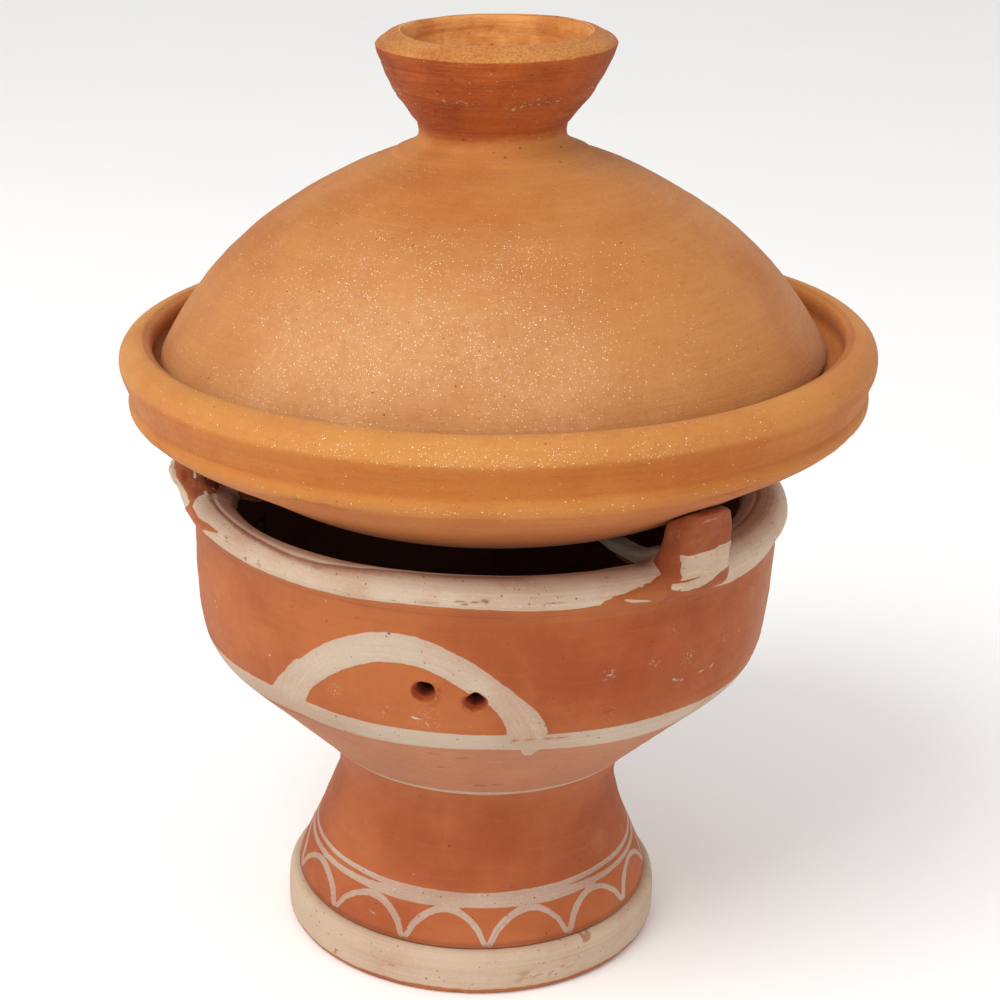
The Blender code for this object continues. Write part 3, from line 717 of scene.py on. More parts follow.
def pierce(bowl):
    """Push the two air holes of each arch through the wall with a blunt stick."""
    me = bowl.data
    bm = bmesh.new()
    bm.from_mesh(me)
    centres = []
    for k, arch in enumerate(ARCHES):
        for offset, height, a, b, seed in HOLES:
            centres.append((hole_frame(arch, offset), height, a, b, seed + 10 * k))
    for reach, cuts in ((13.0, 1), (9.5, 1)):
        edges = set()
        for turn, height, a, b, seed in centres:
            mid = turn @ Vector((0, -117.2 * MM, height * MM))
            for e in bm.edges:
                m = (e.verts[0].co + e.verts[1].co) / 2
                if (m - mid).length < reach * MM and m.xy.length > 112 * MM:
                    edges.add(e)
        bmesh.ops.subdivide_edges(bm, edges=list(edges), cuts=cuts, use_grid_fill=True)
    co = np.array([v.co for v in bm.verts]) / MM
    push = np.zeros(len(co))
    for turn, height, a, b, seed in centres:
        local = co @ np.array(turn.to_3x3())          # inverse rotation
        x, y, z = local[:, 0], local[:, 1], local[:, 2] - height
        near = (y < -112) & (np.hypot(x, z) < 12)
        ang = np.arctan2(z, x)
        edge = 1 + 0.16 * noise(np.cos(ang) * 1.7, np.sin(ang) * 1.7, 0 * ang, 300 + seed)
        q = np.hypot(x / a, z / b) / edge
        side = ramp(x / a, -0.2, 1.0) if seed % 10 == 1 else ramp(-x / a, -0.2, 1.0)
        crumb = 0.75 * ramp(noise(x / 1.0, z / 1.0, 0 * x, 310 + seed), -0.1, 0.7) * bump(q, 1.16, 0.16) * side
        lip = 0.12 * bump(q, 1.2, 0.2)
        dip = -2.6 * (1 - ramp(q, 0.84, 1.06)) * (0.5 + 0.6 * ramp(-z / b, -0.4, 0.8))
        push += np.where(near, crumb + lip + dip, 0.0)
    rad = np.hypot(co[:, 0], co[:, 1])
    grow = 1 + push / np.maximum(rad, 1)
    for v, g in zip(bm.verts, grow):
        v.co.x *= g
        v.co.y *= g
    bm.to_mesh(me)
    bm.free()
    cut = bmesh.new()
    for turn, height, a, b, seed in centres:
        rings = []
        count = 36
        for depth, scale, drop in ((100.0, 0.80, 0.5), (106.0, 0.76, 0.4), (111.0, 0.74, 0.35),
                                   (114.2, 0.80, 0.3), (116.4, 0.90, 0.1), (124.0, 1.0, 0.0)):
            ring = []
            for j in range(count):
                t = 2 * math.pi * j / count
                c, n = math.cos(t), math.sin(t)
                rough = 1 + 0.13 * float(noise(c * 1.7, n * 1.7, 0.0, 300 + seed)) \
                    + 0.05 * float(noise(c * 5, n * 5, depth / 3.0, 320 + seed))
                if n > 0.2:
                    rough *= 0.93
                ring.append(cut.verts.new(turn @ Vector((a * scale * rough * c * MM, -depth * MM,
                                                         (height + drop + b * scale * rough * n) * MM))))
            rings.append(ring)
        for lo, hi in zip(rings, rings[1:]):
            for j in range(count):
                k2 = (j + 1) % count
                cut.faces.new((lo[j], lo[k2], hi[k2], hi[j]))
        cut.faces.new(list(reversed(rings[0])))
        cut.faces.new(rings[-1])
    bmesh.ops.recalc_face_normals(cut, faces=cut.faces)
    cm = bpy.data.meshes.new("stick")
    cut.to_mesh(cm)
    cut.free()
    stick = bpy.data.objects.new("stick", cm)
    bpy.context.scene.collection.objects.link(stick)
    mod = bowl.modifiers.new("holes", 'BOOLEAN')
    mod.operation, mod.solver, mod.object = 'DIFFERENCE', 'EXACT', stick
    bpy.context.view_layer.update()
    done = bpy.data.meshes.new_from_object(bowl.evaluated_get(bpy.context.evaluated_depsgraph_get()))
    bowl.modifiers.clear()
    old = bowl.data
    bowl.data = done
    bpy.data.meshes.remove(old)
    bpy.data.objects.remove(stick)
    bowl.data.shade_smooth()
    bowl.data.set_sharp_from_angle(angle=math.radians(50))
    return centres


# ----------------------------------------------------------------------- lugs
def polygon_table(points, x, y):
    """Signed distance (mm, negative inside) to a closed outline, on a grid."""
    P = np.array(points, float)
    Q = np.roll(P, -1, 0)
    X, Y = np.meshgrid(x, y, indexing="ij")
    best = np.full(X.shape, 1e9)
    inside = np.zeros(X.shape, bool)
    for (ax, ay), (bx, by) in zip(P, Q):
        dx, dy = bx - ax, by - ay
        t = np.clip(((X - ax) * dx + (Y - ay) * dy) / max(dx * dx + dy * dy, 1e-12), 0, 1)
        best = np.minimum(best, np.hypot(X - ax - t * dx, Y - ay - t * dy))
        if ay != by:
            cross = ((ay > Y) != (by > Y)) & (X < (bx - ax) * (Y - ay) / (by - ay) + ax)
            inside ^= cross
    return np.where(inside, -best, best)


def look_up(table, x, y, px, py):
    fx = np.clip((px - x[0]) / (x[1] - x[0]), 0, len(x) - 1.001)
    fy = np.clip((py - y[0]) / (y[1] - y[0]), 0, len(y) - 1.001)
    i, j = fx.astype(int), fy.astype(int)
    a, b = fx - i, fy - j
    return ((1 - a) * (1 - b) * table[i, j] + a * (1 - b) * table[i + 1, j]
            + (1 - a) * b * table[i, j + 1] + a * b * table[i + 1, j + 1])


def surface_net(f, low, step):
    """The zero surface of a sampled field, negative inside, as quads facing out."""
    inside = f < 0
    n = np.array(f.shape) - 1
    corner = [(i, j, k) for i in (0, 1) for j in (0, 1) for k in (0, 1)]

    def at(grid, c):
        return grid[c[0]:c[0] + n[0], c[1]:c[1] + n[1], c[2]:c[2] + n[2]]

    count = sum(at(inside, c).astype(int) for c in corner)
    mixed = (count > 0) & (count < 8)
    where = np.argwhere(mixed)
    index = np.full(mixed.shape, -1)
    index[mixed] = np.arange(len(where))
    acc, num = np.zeros((len(where), 3)), np.zeros(len(where))
    for a in corner:
        for axis in range(3):
            if a[axis]:
                continue
            b = list(a)
            b[axis] = 1
            fa, fb = at(f, a)[mixed], at(f, tuple(b))[mixed]
            cross = (fa < 0) != (fb < 0)
            t = fa / np.where(cross, fa - fb, 1.0)
            p = np.array(a, float) + np.zeros((len(where), 3))
            p[:, axis] += t
            acc[cross] += p[cross]
            num[cross] += 1
    verts = (where + acc / num[:, None]) * step + np.array(low)
    quads = []
    for axis in range(3):
        u, v = (axis + 1) % 3, (axis + 2) % 3
        a = [slice(None)] * 3
        a[axis] = slice(0, -1)
        b = [slice(None)] * 3
        b[axis] = slice(1, None)
        flip = inside[tuple(a)] != inside[tuple(b)]
        cells = np.argwhere(flip)
        ok = np.all(cells[:, [u, v]] > 0, 1) & (cells[:, u] < n[u]) & (cells[:, v] < n[v])
        cells = cells[ok]
        e_u, e_v = np.eye(3, dtype=int)[u], np.eye(3, dtype=int)[v]
        q = [cells, cells - e_u, cells - e_u - e_v, cells - e_v]
        ids = np.stack([index[c[:, 0], c[:, 1], c[:, 2]] for c in q], 1)
        starts = inside[cells[:, 0], cells[:, 1], cells[:, 2]]
        ids[~starts] = ids[~starts][:, ::-1]
        quads.append(ids)
    return verts, np.concatenate(quads)


def rows_at(rows, value):
    rows = np.array(rows, float)
    return [np.interp(value, rows[:, 0], rows[:, k]) for k in range(1, rows.shape[1])]


def loft_distance(du, dv, a, b, power):
    g = (np.abs(du / a) ** power + np.abs(dv / b) ** power) ** (1 / power)
    return (g - 1.0) * np.minimum(a, b)


def smooth_min(a, b, k):
    h = np.clip(0.5 + 0.5 * (b - a) / k, 0, 1)
    return b + (a - b) * h - k * h * (1 - h)


def build_lugs():
    """Lumps of clay pressed on the rim, each with a finger that carries the dish."""
    rr, zz = np.arange(60, 135, 0.25), np.arange(165, 230, 0.25)
    rim_line = smooth_loop(RIM, lambda m, i: 0.8, True)
    body_table = np.minimum(
        polygon_table(rim_line, rr, zz),
        polygon_table([(107.8, 160), (118.3, 160), (118.7, 175), (119.0, 187.5), (107.8, 187.5)], rr, zz))
    dr, dz = np.arange(0, 152, 0.4), np.arange(190, 270, 0.4)
    dish_line = smooth_loop([p for p in DISH], lambda m, i: 1.5, False)
    dish_table = polygon_table(list(dish_line) + [(0, 262), (140, 262)], dr, dz)
    to_dish = np.array((BRAZIER_FRAME.inverted() @ DISH_FRAME).inverted())
    made = {}
    step = 0.62
    for name, azimuth, start, lean, fv, lift in LUGS:
        seed = {"lug_right": 0, "lug_back": 40, "lug_left": 80}[name]
        low = (62.0, -26.0, 178.0)
        shape = [int((134 - 62) / step), int(52 / step), int((222.5 - 178) / step)]
        U, V, W = np.meshgrid(*[low[k] + step * np.arange(shape[k]) for k in range(3)], indexing="ij")
        a = math.radians(azimuth)
        X, Y = U * math.sin(a) + V * math.cos(a), -U * math.cos(a) + V * math.sin(a)
        R = np.hypot(X, Y)
        body = look_up(body_table, rr, zz, R, W)
        # the upright tab
        u0, u1, half = rows_at(LUG_TAB, W)
        u1 = u1 - lean * (1 - ramp(W, 188.0, 208.0))
        if name == "lug_right":
            u1 = u1 - np.clip(0.11 * V, -1.5, 0.8) * ramp(W, 204, 216)
        if name == "lug_left":
            u1 = u1 + 2.0 * bump(W, 200.5, 7.0) - 6.8 * ramp(W, 203.0, 210)
        facet = 0.5 * ramp(W, 190, 215)
        tab = loft_distance(U - (u0 + u1) / 2, V, (u1 - u0) / 2, half, 2.9)
        cap = 219.8 - (0.10 * np.maximum(V - 2, 0) + 0.15 * np.maximum(V - 5, 0) ** 1.5 if name == "lug_right" else 0.0)
        tab = np.where(W > cap, np.hypot(np.maximum(tab + 1.5, 0), W - cap) - 1.2, tab)
        tab = np.where(W < start - 2, np.maximum(tab, start - 2 - W), tab)
        # the finger
        w0, w1, fh = rows_at(LUG_FINGER, U)
        up = lift * (1 - ramp(U, 92.0, 106.0))
        finger = loft_distance(W - (w0 + w1) / 2 - up, V - fv, (w1 - w0) / 2, fh, 2.7)
        finger = np.where(U < 67.9, np.hypot(np.maximum(finger + 1.4, 0), 67.9 - U) - 1.2, finger)
        finger = np.where(U > 118, np.maximum(finger, U - 118), finger)
        lump = smooth_min(tab, finger, 4.0)
        grain = (0.42 * noise(U / 7.0, V / 7.0, W / 7.0, 200 + seed)
                 + 0.22 * noise(U / 3.1, V / 3.1, W / 3.1, 203 + seed)
                 + 0.12 * noise(U / 1.6, V / 1.6, W / 1.6, 206 + seed))
        # the outer face is wiped with a thumb: shallow upright facets
        wipe = 0.35 * np.cos((V + 1.5 * noise(V / 9, W / 9, 0 * V, 209 + seed)) * 0.55) * ramp(U, 118, 126)
        lump = lump - grain - wipe + 0.55 + facet * 0
        if name != "lug_right":
            # the others are rougher, pinched on one side
            lump = lump + 0.7 * ramp(noise(U / 4.2, V / 4.2, W / 4.2, 212 + seed), 0.1, 0.7)
            lump = lump + 0.5 * noise(U / 1.9, V / 1.9, W / 2.6, 213 + seed) * ramp(W, 195, 200)
        sunk = body + 0.32
        joined = smooth_min(lump, sunk, 6.5)
        # thumbed-on clay runs out either side at the rim's level
        reach = lump - 5.2 - 2.6 * noise(V / 5, W / 5, U / 5, 215 + seed) * 0.6
        f = np.maximum(joined, reach)
        local = [to_dish[k][0] * X * MM + to_dish[k][1] * Y * MM + to_dish[k][2] * W * MM + to_dish[k][3]
                 for k in range(3)]
        dish = look_up(dish_table, dr, dz, np.hypot(local[0], local[1]) / MM, local[2] / MM)
        f = np.maximum(f, 0.55 - dish)
        # creases and scraped marks
        if name == "lug_right":
            crack = np.hypot((W - 194.9 - 0.10 * V) / 0.5, 0 * V) + 9 * (V > 2) + 9 * (V < -12.5)
            f = f + 0.55 * np.exp(-crack ** 2) * (U > 120)
            f = f - 0.35 * np.exp(-((W - 212.5 + 0.015 * (V + 2) ** 2) / 1.2) ** 2) * (U > 119) * (np.abs(V + 3) < 9)
        f = f[:, :, :]
        f[0], f[-1], f[:, 0], f[:, -1], f[:, :, 0], f[:, :, -1] = (np.maximum(e, 0.3) for e in (
            f[0], f[-1], f[:, 0], f[:, -1], f[:, :, 0], f[:, :, -1]))
        verts, quads = surface_net(f, low, step)
        u, v, w = verts.T
        xyz = np.stack([u * math.sin(a) + v * math.cos(a), -u * math.cos(a) + v * math.sin(a), w], 1) * MM
        obj = mesh_object(name + "_lump", xyz, [quads])
        bm = bmesh.new()
        bm.from_mesh(obj.data)
        # keep the one big body
        seen, best = set(), []
        for vert in bm.verts:
            if vert in seen:
                continue
            group, stack = [], [vert]
            seen.add(vert)
            while stack:
                here = stack.pop()
                group.append(here)
                for e in here.link_edges:
                    other = e.other_vert(here)
                    if other not in seen:
                        seen.add(other)
                        stack.append(other)
            if len(group) > len(best):
                best = group
        keep = set(best)
        bmesh.ops.delete(bm, geom=[x for x in bm.verts if x not in keep], context='VERTS')
        for _ in range(2):
            bmesh.ops.smooth_vert(bm, verts=bm.verts, factor=0.4, use_axis_x=True, use_axis_y=True,
                                  use_axis_z=True)
        bm.to_mesh(obj.data)
        bm.free()
        obj.data.shade_smooth()
        co = coords(obj) / MM
        u = co[:, 0] * math.sin(a) - co[:, 1] * math.cos(a)
        v = co[:, 0] * math.cos(a) + co[:, 1] * math.sin(a)
        w = co[:, 2]
        nor = np.empty(len(co) * 3, np.float32)
        obj.data.vertices.foreach_get("normal", nor)
        nor = nor.reshape(-1, 3)
        nu = nor[:, 0] * math.sin(a) - nor[:, 1] * math.cos(a)
        nv = nor[:, 0] * math.cos(a) + nor[:, 1] * math.sin(a)
        own = lug_slip(name, u, v, w, nu, nv, nor[:, 2], seed)
        line = smooth_loop(RIM, lambda m, i: 0.3, True)
        run = np.concatenate([[0], np.cumsum(np.linalg.norm(np.diff(line, axis=0), axis=1))]) - RIM_START
        spot = np.stack([np.hypot(co[:, 0], co[:, 1]), w], 1)
        gap = np.linalg.norm(spot[:, None, :] - line[None, :, :], axis=2)
        near = gap.argmin(1)
        gap = gap.min(1)
        phi = np.degrees(np.arctan2(co[:, 0], -co[:, 1]))
        share = ramp(gap, 0.7, 1.8) * (spot[:, 0] < 121.0) + (spot[:, 0] >= 121.0) * ramp(gap, 0.5, 1.2)
        slip = own * share + rim_slip(phi, run[near]) * (1 - share)
        if name == "lug_left":
            smear = 0.5 * noise(u / 2.2, v / 2.2, w / 2.2, 232 + seed) + 0.4 * noise(u / 0.9, v / 0.9, w / 1.4, 233 + seed)
            zone = ramp(122.0 - u, 0, 3) * ramp(u, 96, 101) * ramp(w, 195.5, 198.5)
            slip = slip * (1 - zone) + zone * (-0.22 + 1.0 * smear)
            # the torn zone is darkened: partly charcoal smoke, partly painted shade under the dish
            give(obj, "soot_and_shade", np.clip(0.55 + smear, 0, 1) * zone)
        give(obj, "slip", slip)
        give(obj, "rub", rim_rub(phi, run[near]) * (1 - share))
        give(obj, "loc", coords(obj))
        give(obj, "s", w * MM)
        give(obj, "brush", np.stack([v * 0.05, u * 0.05, w], 1))
        made[name] = obj
    return made


def lug_slip(name, u, v, w, nu, nv, nw, seed):
    rough = 0.5 * noise(u / 1.4, v / 1.4, w / 1.4, 230 + seed) + 0.6 * noise(u / 4, v / 4, w / 4, 231 + seed)
    top = np.minimum(ramp(nw, 0.1, 0.5) * 6 - 2.2, (111.5 - u) * 0.5)
    if name == "lug_right":
        left = v + 12.4 + 0.9 * rough
        upper = np.minimum(np.minimum(left, 205.0 - w + 0.05 * v + 0.4 * rough), w - 194.6 + 0.0 * v)
        lower = np.minimum(np.minimum(v + 14.2 + 1.6 * rough, 194.7 - w + 0.1 * v),
                           w - (190.2 + 0.012 * (v + 10) ** 2 + 0.5 * rough))
        dab = np.maximum(upper, lower)
        dab = np.minimum(dab, u - 119.0)
        # a thin pale line of slip along the tab's right edge: partly worn slip, partly a painted highlight on the edge
        edge = np.minimum(0.55 - np.abs(v - 13.4 + 0.09 * np.maximum(w - 207, 0) ** 1.3), (w - 203) * 0.5)
        edge = np.minimum(edge, u - 112.5)
        shoulder = np.minimum(np.minimum(-(v + 12.8), w - 209.5), 217.0 - w) * 0.4 + 0.5 * rough - 0.3
        shoulder = np.minimum(shoulder, 0.02)
        scrape, _, _ = stroke(v, w, [(-9.0, 216.4, 0.5), (-5.0, 217.6, 0.5), (-1.0, 218.0, 0.4)])
        scrape = np.minimum(scrape - 0.8 * np.abs(rough), 0.0)
        rim_right = np.minimum(201.5 - w, v - 15.0)
        inner = np.minimum(112.0 - u, np.minimum(205.0 - w, w - 190.0)) + 0.5 * rough
        return np.maximum.reduce([dab, edge, shoulder, scrape, rim_right, inner]) + 0.0
    if name == "lug_left":
        # red clay runs down the side in a tail; the outside and the root are cream
        tail, _, _ = stroke(u, w, [(125.5, 214.0, 4.2), (122.6, 208.0, 4.8), (119.5, 202.0, 4.2),
                                   (118.3, 196.0, 3.2), (117.0, 190.0, 2.4), (115.0, 187.0, 1.5)])
        rough_patch = 0.9 * rough + 0.2
        cream = np.minimum(-tail + 0.4 * rough, 209.5 - w + 0.8 * rough)
        patch, _, _ = stroke(u, w, [(121.5, 212.5, 1.8), (118.0, 209.5, 1.6)])
        side = np.where(nv > -0.2, cream, 2.0 + rough)
        inner = np.where((u < 104) & (np.abs(nw) < 0.5), -1.5 + rough, 9.0)
        best = np.minimum(np.maximum(side, patch + 0.5 * rough), inner)
        # where the dish rubs against it the clay is torn and only smeared with slip
        torn = ramp(120.5 - u, 0, 2.5) * ramp(w, 198, 202) * (1 - ramp(patch, -0.6, 0.2))
        return best * (1 - torn) + torn * (-0.12 + 0.55 * rough)
    face, _, _ = stroke(v, w, [(-7.0, 199.0, 5.2), (8.0, 199.6, 5.6)])
    face = np.minimum(face + 0.9 * rough, u - 119.0)
    rim_side = np.minimum(199.0 - w, np.abs(v) - 13.4 + 0.8 * rough)
    return np.maximum.reduce([face, rim_side, top + 0.4 * rough])


# ------------------------------------------------------------------ materials
def lin(r, g, b):
    """An sRGB colour (0-255) as a linear one."""
    def f(v):
        v /= 255.0
        return v / 12.92 if v <= 0.04045 else ((v + 0.055) / 1.055) ** 2.4
    return (f(r), f(g), f(b), 1.0)


class Net:
    """Short-hand for building a material's nodes."""

    def __init__(self, name):
        self.mat = bpy.data.materials.new(name)
        self.mat.use_nodes = True
        self.tree = self.mat.node_tree
        self.tree.nodes.clear()

    def put(self, kind, **settings):
        node = self.tree.nodes.new(kind)
        for key, value in settings.items():
            setattr(node, key, value)
        return node

    def wire(self, value, socket):
        if isinstance(value, bpy.types.NodeSocket):
            self.tree.links.new(value, socket)
        elif value is not None:
            socket.default_value = value

    def math(self, op, a, b=None, c=None, clamp=False):
        node = self.put("ShaderNodeMath", operation=op, use_clamp=clamp)
        for value, socket in zip((a, b, c), node.inputs):
            self.wire(value, socket)
        return node.outputs[0]

    def add(self, a, b):
        return self.math('ADD', a, b)

    def sub(self, a, b):
        return self.math('SUBTRACT', a, b)

    def mul(self, a, b):
        return self.math('MULTIPLY', a, b)

    def step(self, value, low, high, out_low=0.0, out_high=1.0, smooth=True):
        node = self.put("ShaderNodeMapRange", interpolation_type='SMOOTHSTEP' if smooth else 'LINEAR')
        node.clamp = True
        self.wire(value, node.inputs["Value"])
        for key, v in (("From Min", low), ("From Max", high), ("To Min", out_low), ("To Max", out_high)):
            self.wire(v, node.inputs[key])
        return node.outputs["Result"]

    def attr(self, name, vector=False):
        node = self.put("ShaderNodeAttribute", attribute_type='GEOMETRY', attribute_name=name)
        return node.outputs["Vector" if vector else "Fac"]

    def scaled(self, vector, x, y, z):
        node = self.put("ShaderNodeVectorMath", operation='MULTIPLY')
        self.wire(vector, node.inputs[0])
        node.inputs[1].default_value = (x, y, z)
        return node.outputs[0]

    def joined(self, x, y, z):
        node = self.put("ShaderNodeCombineXYZ")
        for value, socket in zip((x, y, z), node.inputs):
            self.wire(value, socket)
        return node.outputs[0]

    def split(self, vector):
        node = self.put("ShaderNodeSeparateXYZ")
        self.wire(vector, node.inputs[0])
        return node.outputs

    def noise(self, vector, scale=1.0, detail=2.0, rough=0.5, distortion=0.0):
        node = self.put("ShaderNodeTexNoise", noise_dimensions='3D')
        self.wire(vector, node.inputs["Vector"])
        for key, v in (("Scale", scale), ("Detail", detail), ("Roughness", rough), ("Distortion", distortion)):
            self.wire(v, node.inputs[key])
        return node.outputs[0]

    def cells(self, vector, scale):
        """Distance to the nearest seed, and that seed's random number."""
        node = self.put("ShaderNodeTexVoronoi", voronoi_dimensions='3D', feature='F1')
        self.wire(vector, node.inputs["Vector"])
        self.wire(scale, node.inputs["Scale"])
        return node.outputs["Distance"], self.split(node.outputs["Color"])

    def mix(self, fac, a, b, blend='MIX'):
        node = self.put("ShaderNodeMix", data_type='RGBA', blend_type=blend, clamp_factor=True)
        self.wire(fac, node.inputs[0])
        self.wire(a, node.inputs[6])
        self.wire(b, node.inputs[7])
        return node.outputs[2]

    def gained(self, colour, gain):
        return self.mix(1.0, colour, (*gain, 1.0), 'MULTIPLY')

    def specks(self, vector, scale, radius, share, soft=0.5):
        """Scattered dots: 1 at a dot's middle. share of the cells have one."""
        dist, rnd = self.cells(vector, scale)
        size = self.step(rnd[1], 0.0, 1.0, radius * 0.55, radius * 1.3, smooth=False)
        dot = self.step(self.math('DIVIDE', dist, size), 1.0, soft, 0.0, 1.0)
        keep = self.math('GREATER_THAN', rnd[0], self.sub(1.0, share) if isinstance(
            share, bpy.types.NodeSocket) else 1.0 - share)
        return self.mul(dot, keep)

    def finish(self, colour, rough, height, strength=1.0, distance=MM, specular=0.35, sheen=0.05):
        shader = self.put("ShaderNodeBsdfPrincipled")
        self.wire(colour, shader.inputs["Base Color"])
        self.wire(rough, shader.inputs["Roughness"])
        self.wire(specular, shader.inputs["Specular IOR Level"])
        shader.inputs["Sheen Weight"].default_value = sheen
        shader.inputs["Sheen Roughness"].default_value = 0.45
        bumper = self.put("ShaderNodeBump")
        bumper.inputs["Strength"].default_value = strength
        bumper.inputs["Distance"].default_value = distance
        self.wire(height, bumper.inputs["Height"])
        self.tree.links.new(bumper.outputs[0], shader.inputs["Normal"])
        out = self.put("ShaderNodeOutputMaterial")
        self.tree.links.new(shader.outputs[0], out.inputs[0])
        return self.mat


def clay_field(net, seed, line_strength):
    """What every thrown surface shares: clouds, throwing lines and bands, scratches, grit and grain."""
    loc = net.attr("loc", True)
    s = net.attr("s")
    moved = net.put("ShaderNodeVectorMath", operation='ADD')
    net.wire(loc, moved.inputs[0])
    moved.inputs[1].default_value = (seed * 0.37, seed * 0.21, seed * 0.53)
    loc = moved.outputs[0]
    x, y, z = net.split(loc)
    lines = net.noise(net.joined(net.mul(x, 26.0), net.mul(y, 26.0), net.mul(s, 480.0)), 1.0, 4.0, 0.66)
    bands = net.noise(net.joined(net.mul(x, 9.0), net.mul(y, 9.0), net.mul(s, 95.0)), 1.0, 2.0, 0.55)
    scratch = net.noise(net.joined(net.mul(x, 190.0), net.mul(y, 190.0), net.mul(s, 1500.0)), 1.0, 2.0, 0.6)
    cloud = net.noise(loc, 19.0, 3.0, 0.55)
    blotch = net.noise(loc, 46.0, 3.0, 0.6)
    grain = net.noise(loc, 900.0, 3.0, 0.65)
    grit = net.noise(loc, 320.0, 3.0, 0.6)
    return {"loc": loc, "s": s, "x": x, "y": y, "z": z, "lines": lines, "bands": bands,
            "cloud": cloud, "blotch": blotch, "grain": grain, "grit": grit, "scratch": scratch}


def golden_clay(name, seed, base, deep, pale, gain, bloom_and_highlight, lines=1.0):
    """The pale orange clay of the dish and lid, with glittering flakes in it, painted as glints where the light catches
    them.
    """
    net = Net(name)
    f = clay_field(net, seed, lines)
    colour = net.mix(net.step(f["cloud"], 0.38, 0.66), base, deep)
    colour = net.mix(net.mul(net.step(f["blotch"], 0.48, 0.74), 0.45), colour, deep)
    colour = net.mix(net.mul(net.step(f["lines"], 0.46, 0.72), 0.22 * lines), colour, pale)
    colour = net.mix(net.mul(net.step(f["lines"], 0.48, 0.28), 0.22 * lines), colour, deep)
    colour = net.mix(net.mul(net.step(f["bands"], 0.48, 0.70), 0.22), colour, deep)
    colour = net.mix(net.mul(net.step(f["scratch"], 0.60, 0.74), 0.30), colour, lin(160, 92, 42))
    colour = net.mix(net.mul(net.step(f["scratch"], 0.40, 0.27), 0.25), colour, pale)
    colour = net.mix(net.mul(net.step(f["grain"], 0.56, 0.74), 0.28), colour, lin(172, 102, 50))
    colour = net.mix(net.mul(net.step(f["grain"], 0.44, 0.28), 0.24), colour, pale)
    # painted shade: darker and redder under the dish, on the upper roll's front face and on the lip's inner wall
    colour = net.mix(net.attr("dish_shade"), colour, net.mix(1.0, colour, (0.88, 0.72, 0.52, 1.0), 'MULTIPLY'))
    # a pale dusty film, partly real and partly painted highlight and sheen, with glittering flakes lying on it
    mica_glint = net.attr("mica_glint")
    drift = net.noise(f["loc"], 34.0, 4.0, 0.66)
    dust_and_highlight = net.mul(net.step(drift, 0.30, 0.70, 0.62, 1.0), net.attr("dust_and_highlight"))
    dust_and_highlight = net.mul(dust_and_highlight, net.step(f["grit"], 0.30, 0.62, 0.6, 1.0))
    colour = net.mix(net.mul(dust_and_highlight, 0.62), colour, bloom_and_highlight)
    colour = net.gained(colour, gain)
    # glittering flakes painted as bright glints, thickest where the light catches the front
    share = net.step(mica_glint, 0.0, 0.9, 0.02, 0.95)
    share = net.mul(share, net.step(drift, 0.38, 0.60, 0.30, 1.25))
    glint = net.specks(f["loc"], 1060.0, 0.26, share, 0.35)
    flash = net.specks(net.scaled(f["loc"], 1.0, 1.0, 1.25), 520.0, 0.145, net.mul(share, 0.6), 0.3)
    glint = net.math('MAXIMUM', net.mul(glint, net.step(f["grain"], 0.38, 0.60, 0.25, 0.80)), flash)
    colour = net.mix(glint, colour, lin(255, 238, 212))
    # pits and scorched grains
    pit = net.specks(f["loc"], 240.0, 0.085, 0.34)
    speck = net.specks(f["loc"], 460.0, 0.14, 0.34)
    colour = net.mix(net.mul(pit, 0.7), colour, lin(118, 62, 28))
    colour = net.mix(net.mul(speck, 0.6), colour, lin(136, 70, 30))
    # darker cracks, and painted shade in the groove between the dish's rolls
    wear_and_shade = net.attr("wear_and_shade")
    colour = net.mix(net.mul(wear_and_shade, 0.65), colour, lin(138, 76, 36))
    rough = net.step(f["grit"], 0.3, 0.7, 0.66, 0.84)
    rough = net.sub(rough, net.mul(glint, 0.3))
    height = net.add(net.mul(f["lines"], 0.20 * lines), net.mul(f["grain"], 0.24))
    height = net.add(height, net.mul(f["grit"], 0.14))
    height = net.add(height, net.mul(f["scratch"], 0.08))
    height = net.sub(height, net.mul(pit, 0.35))
    return net.finish(colour, rough, height, 1.0, MM, 0.24)


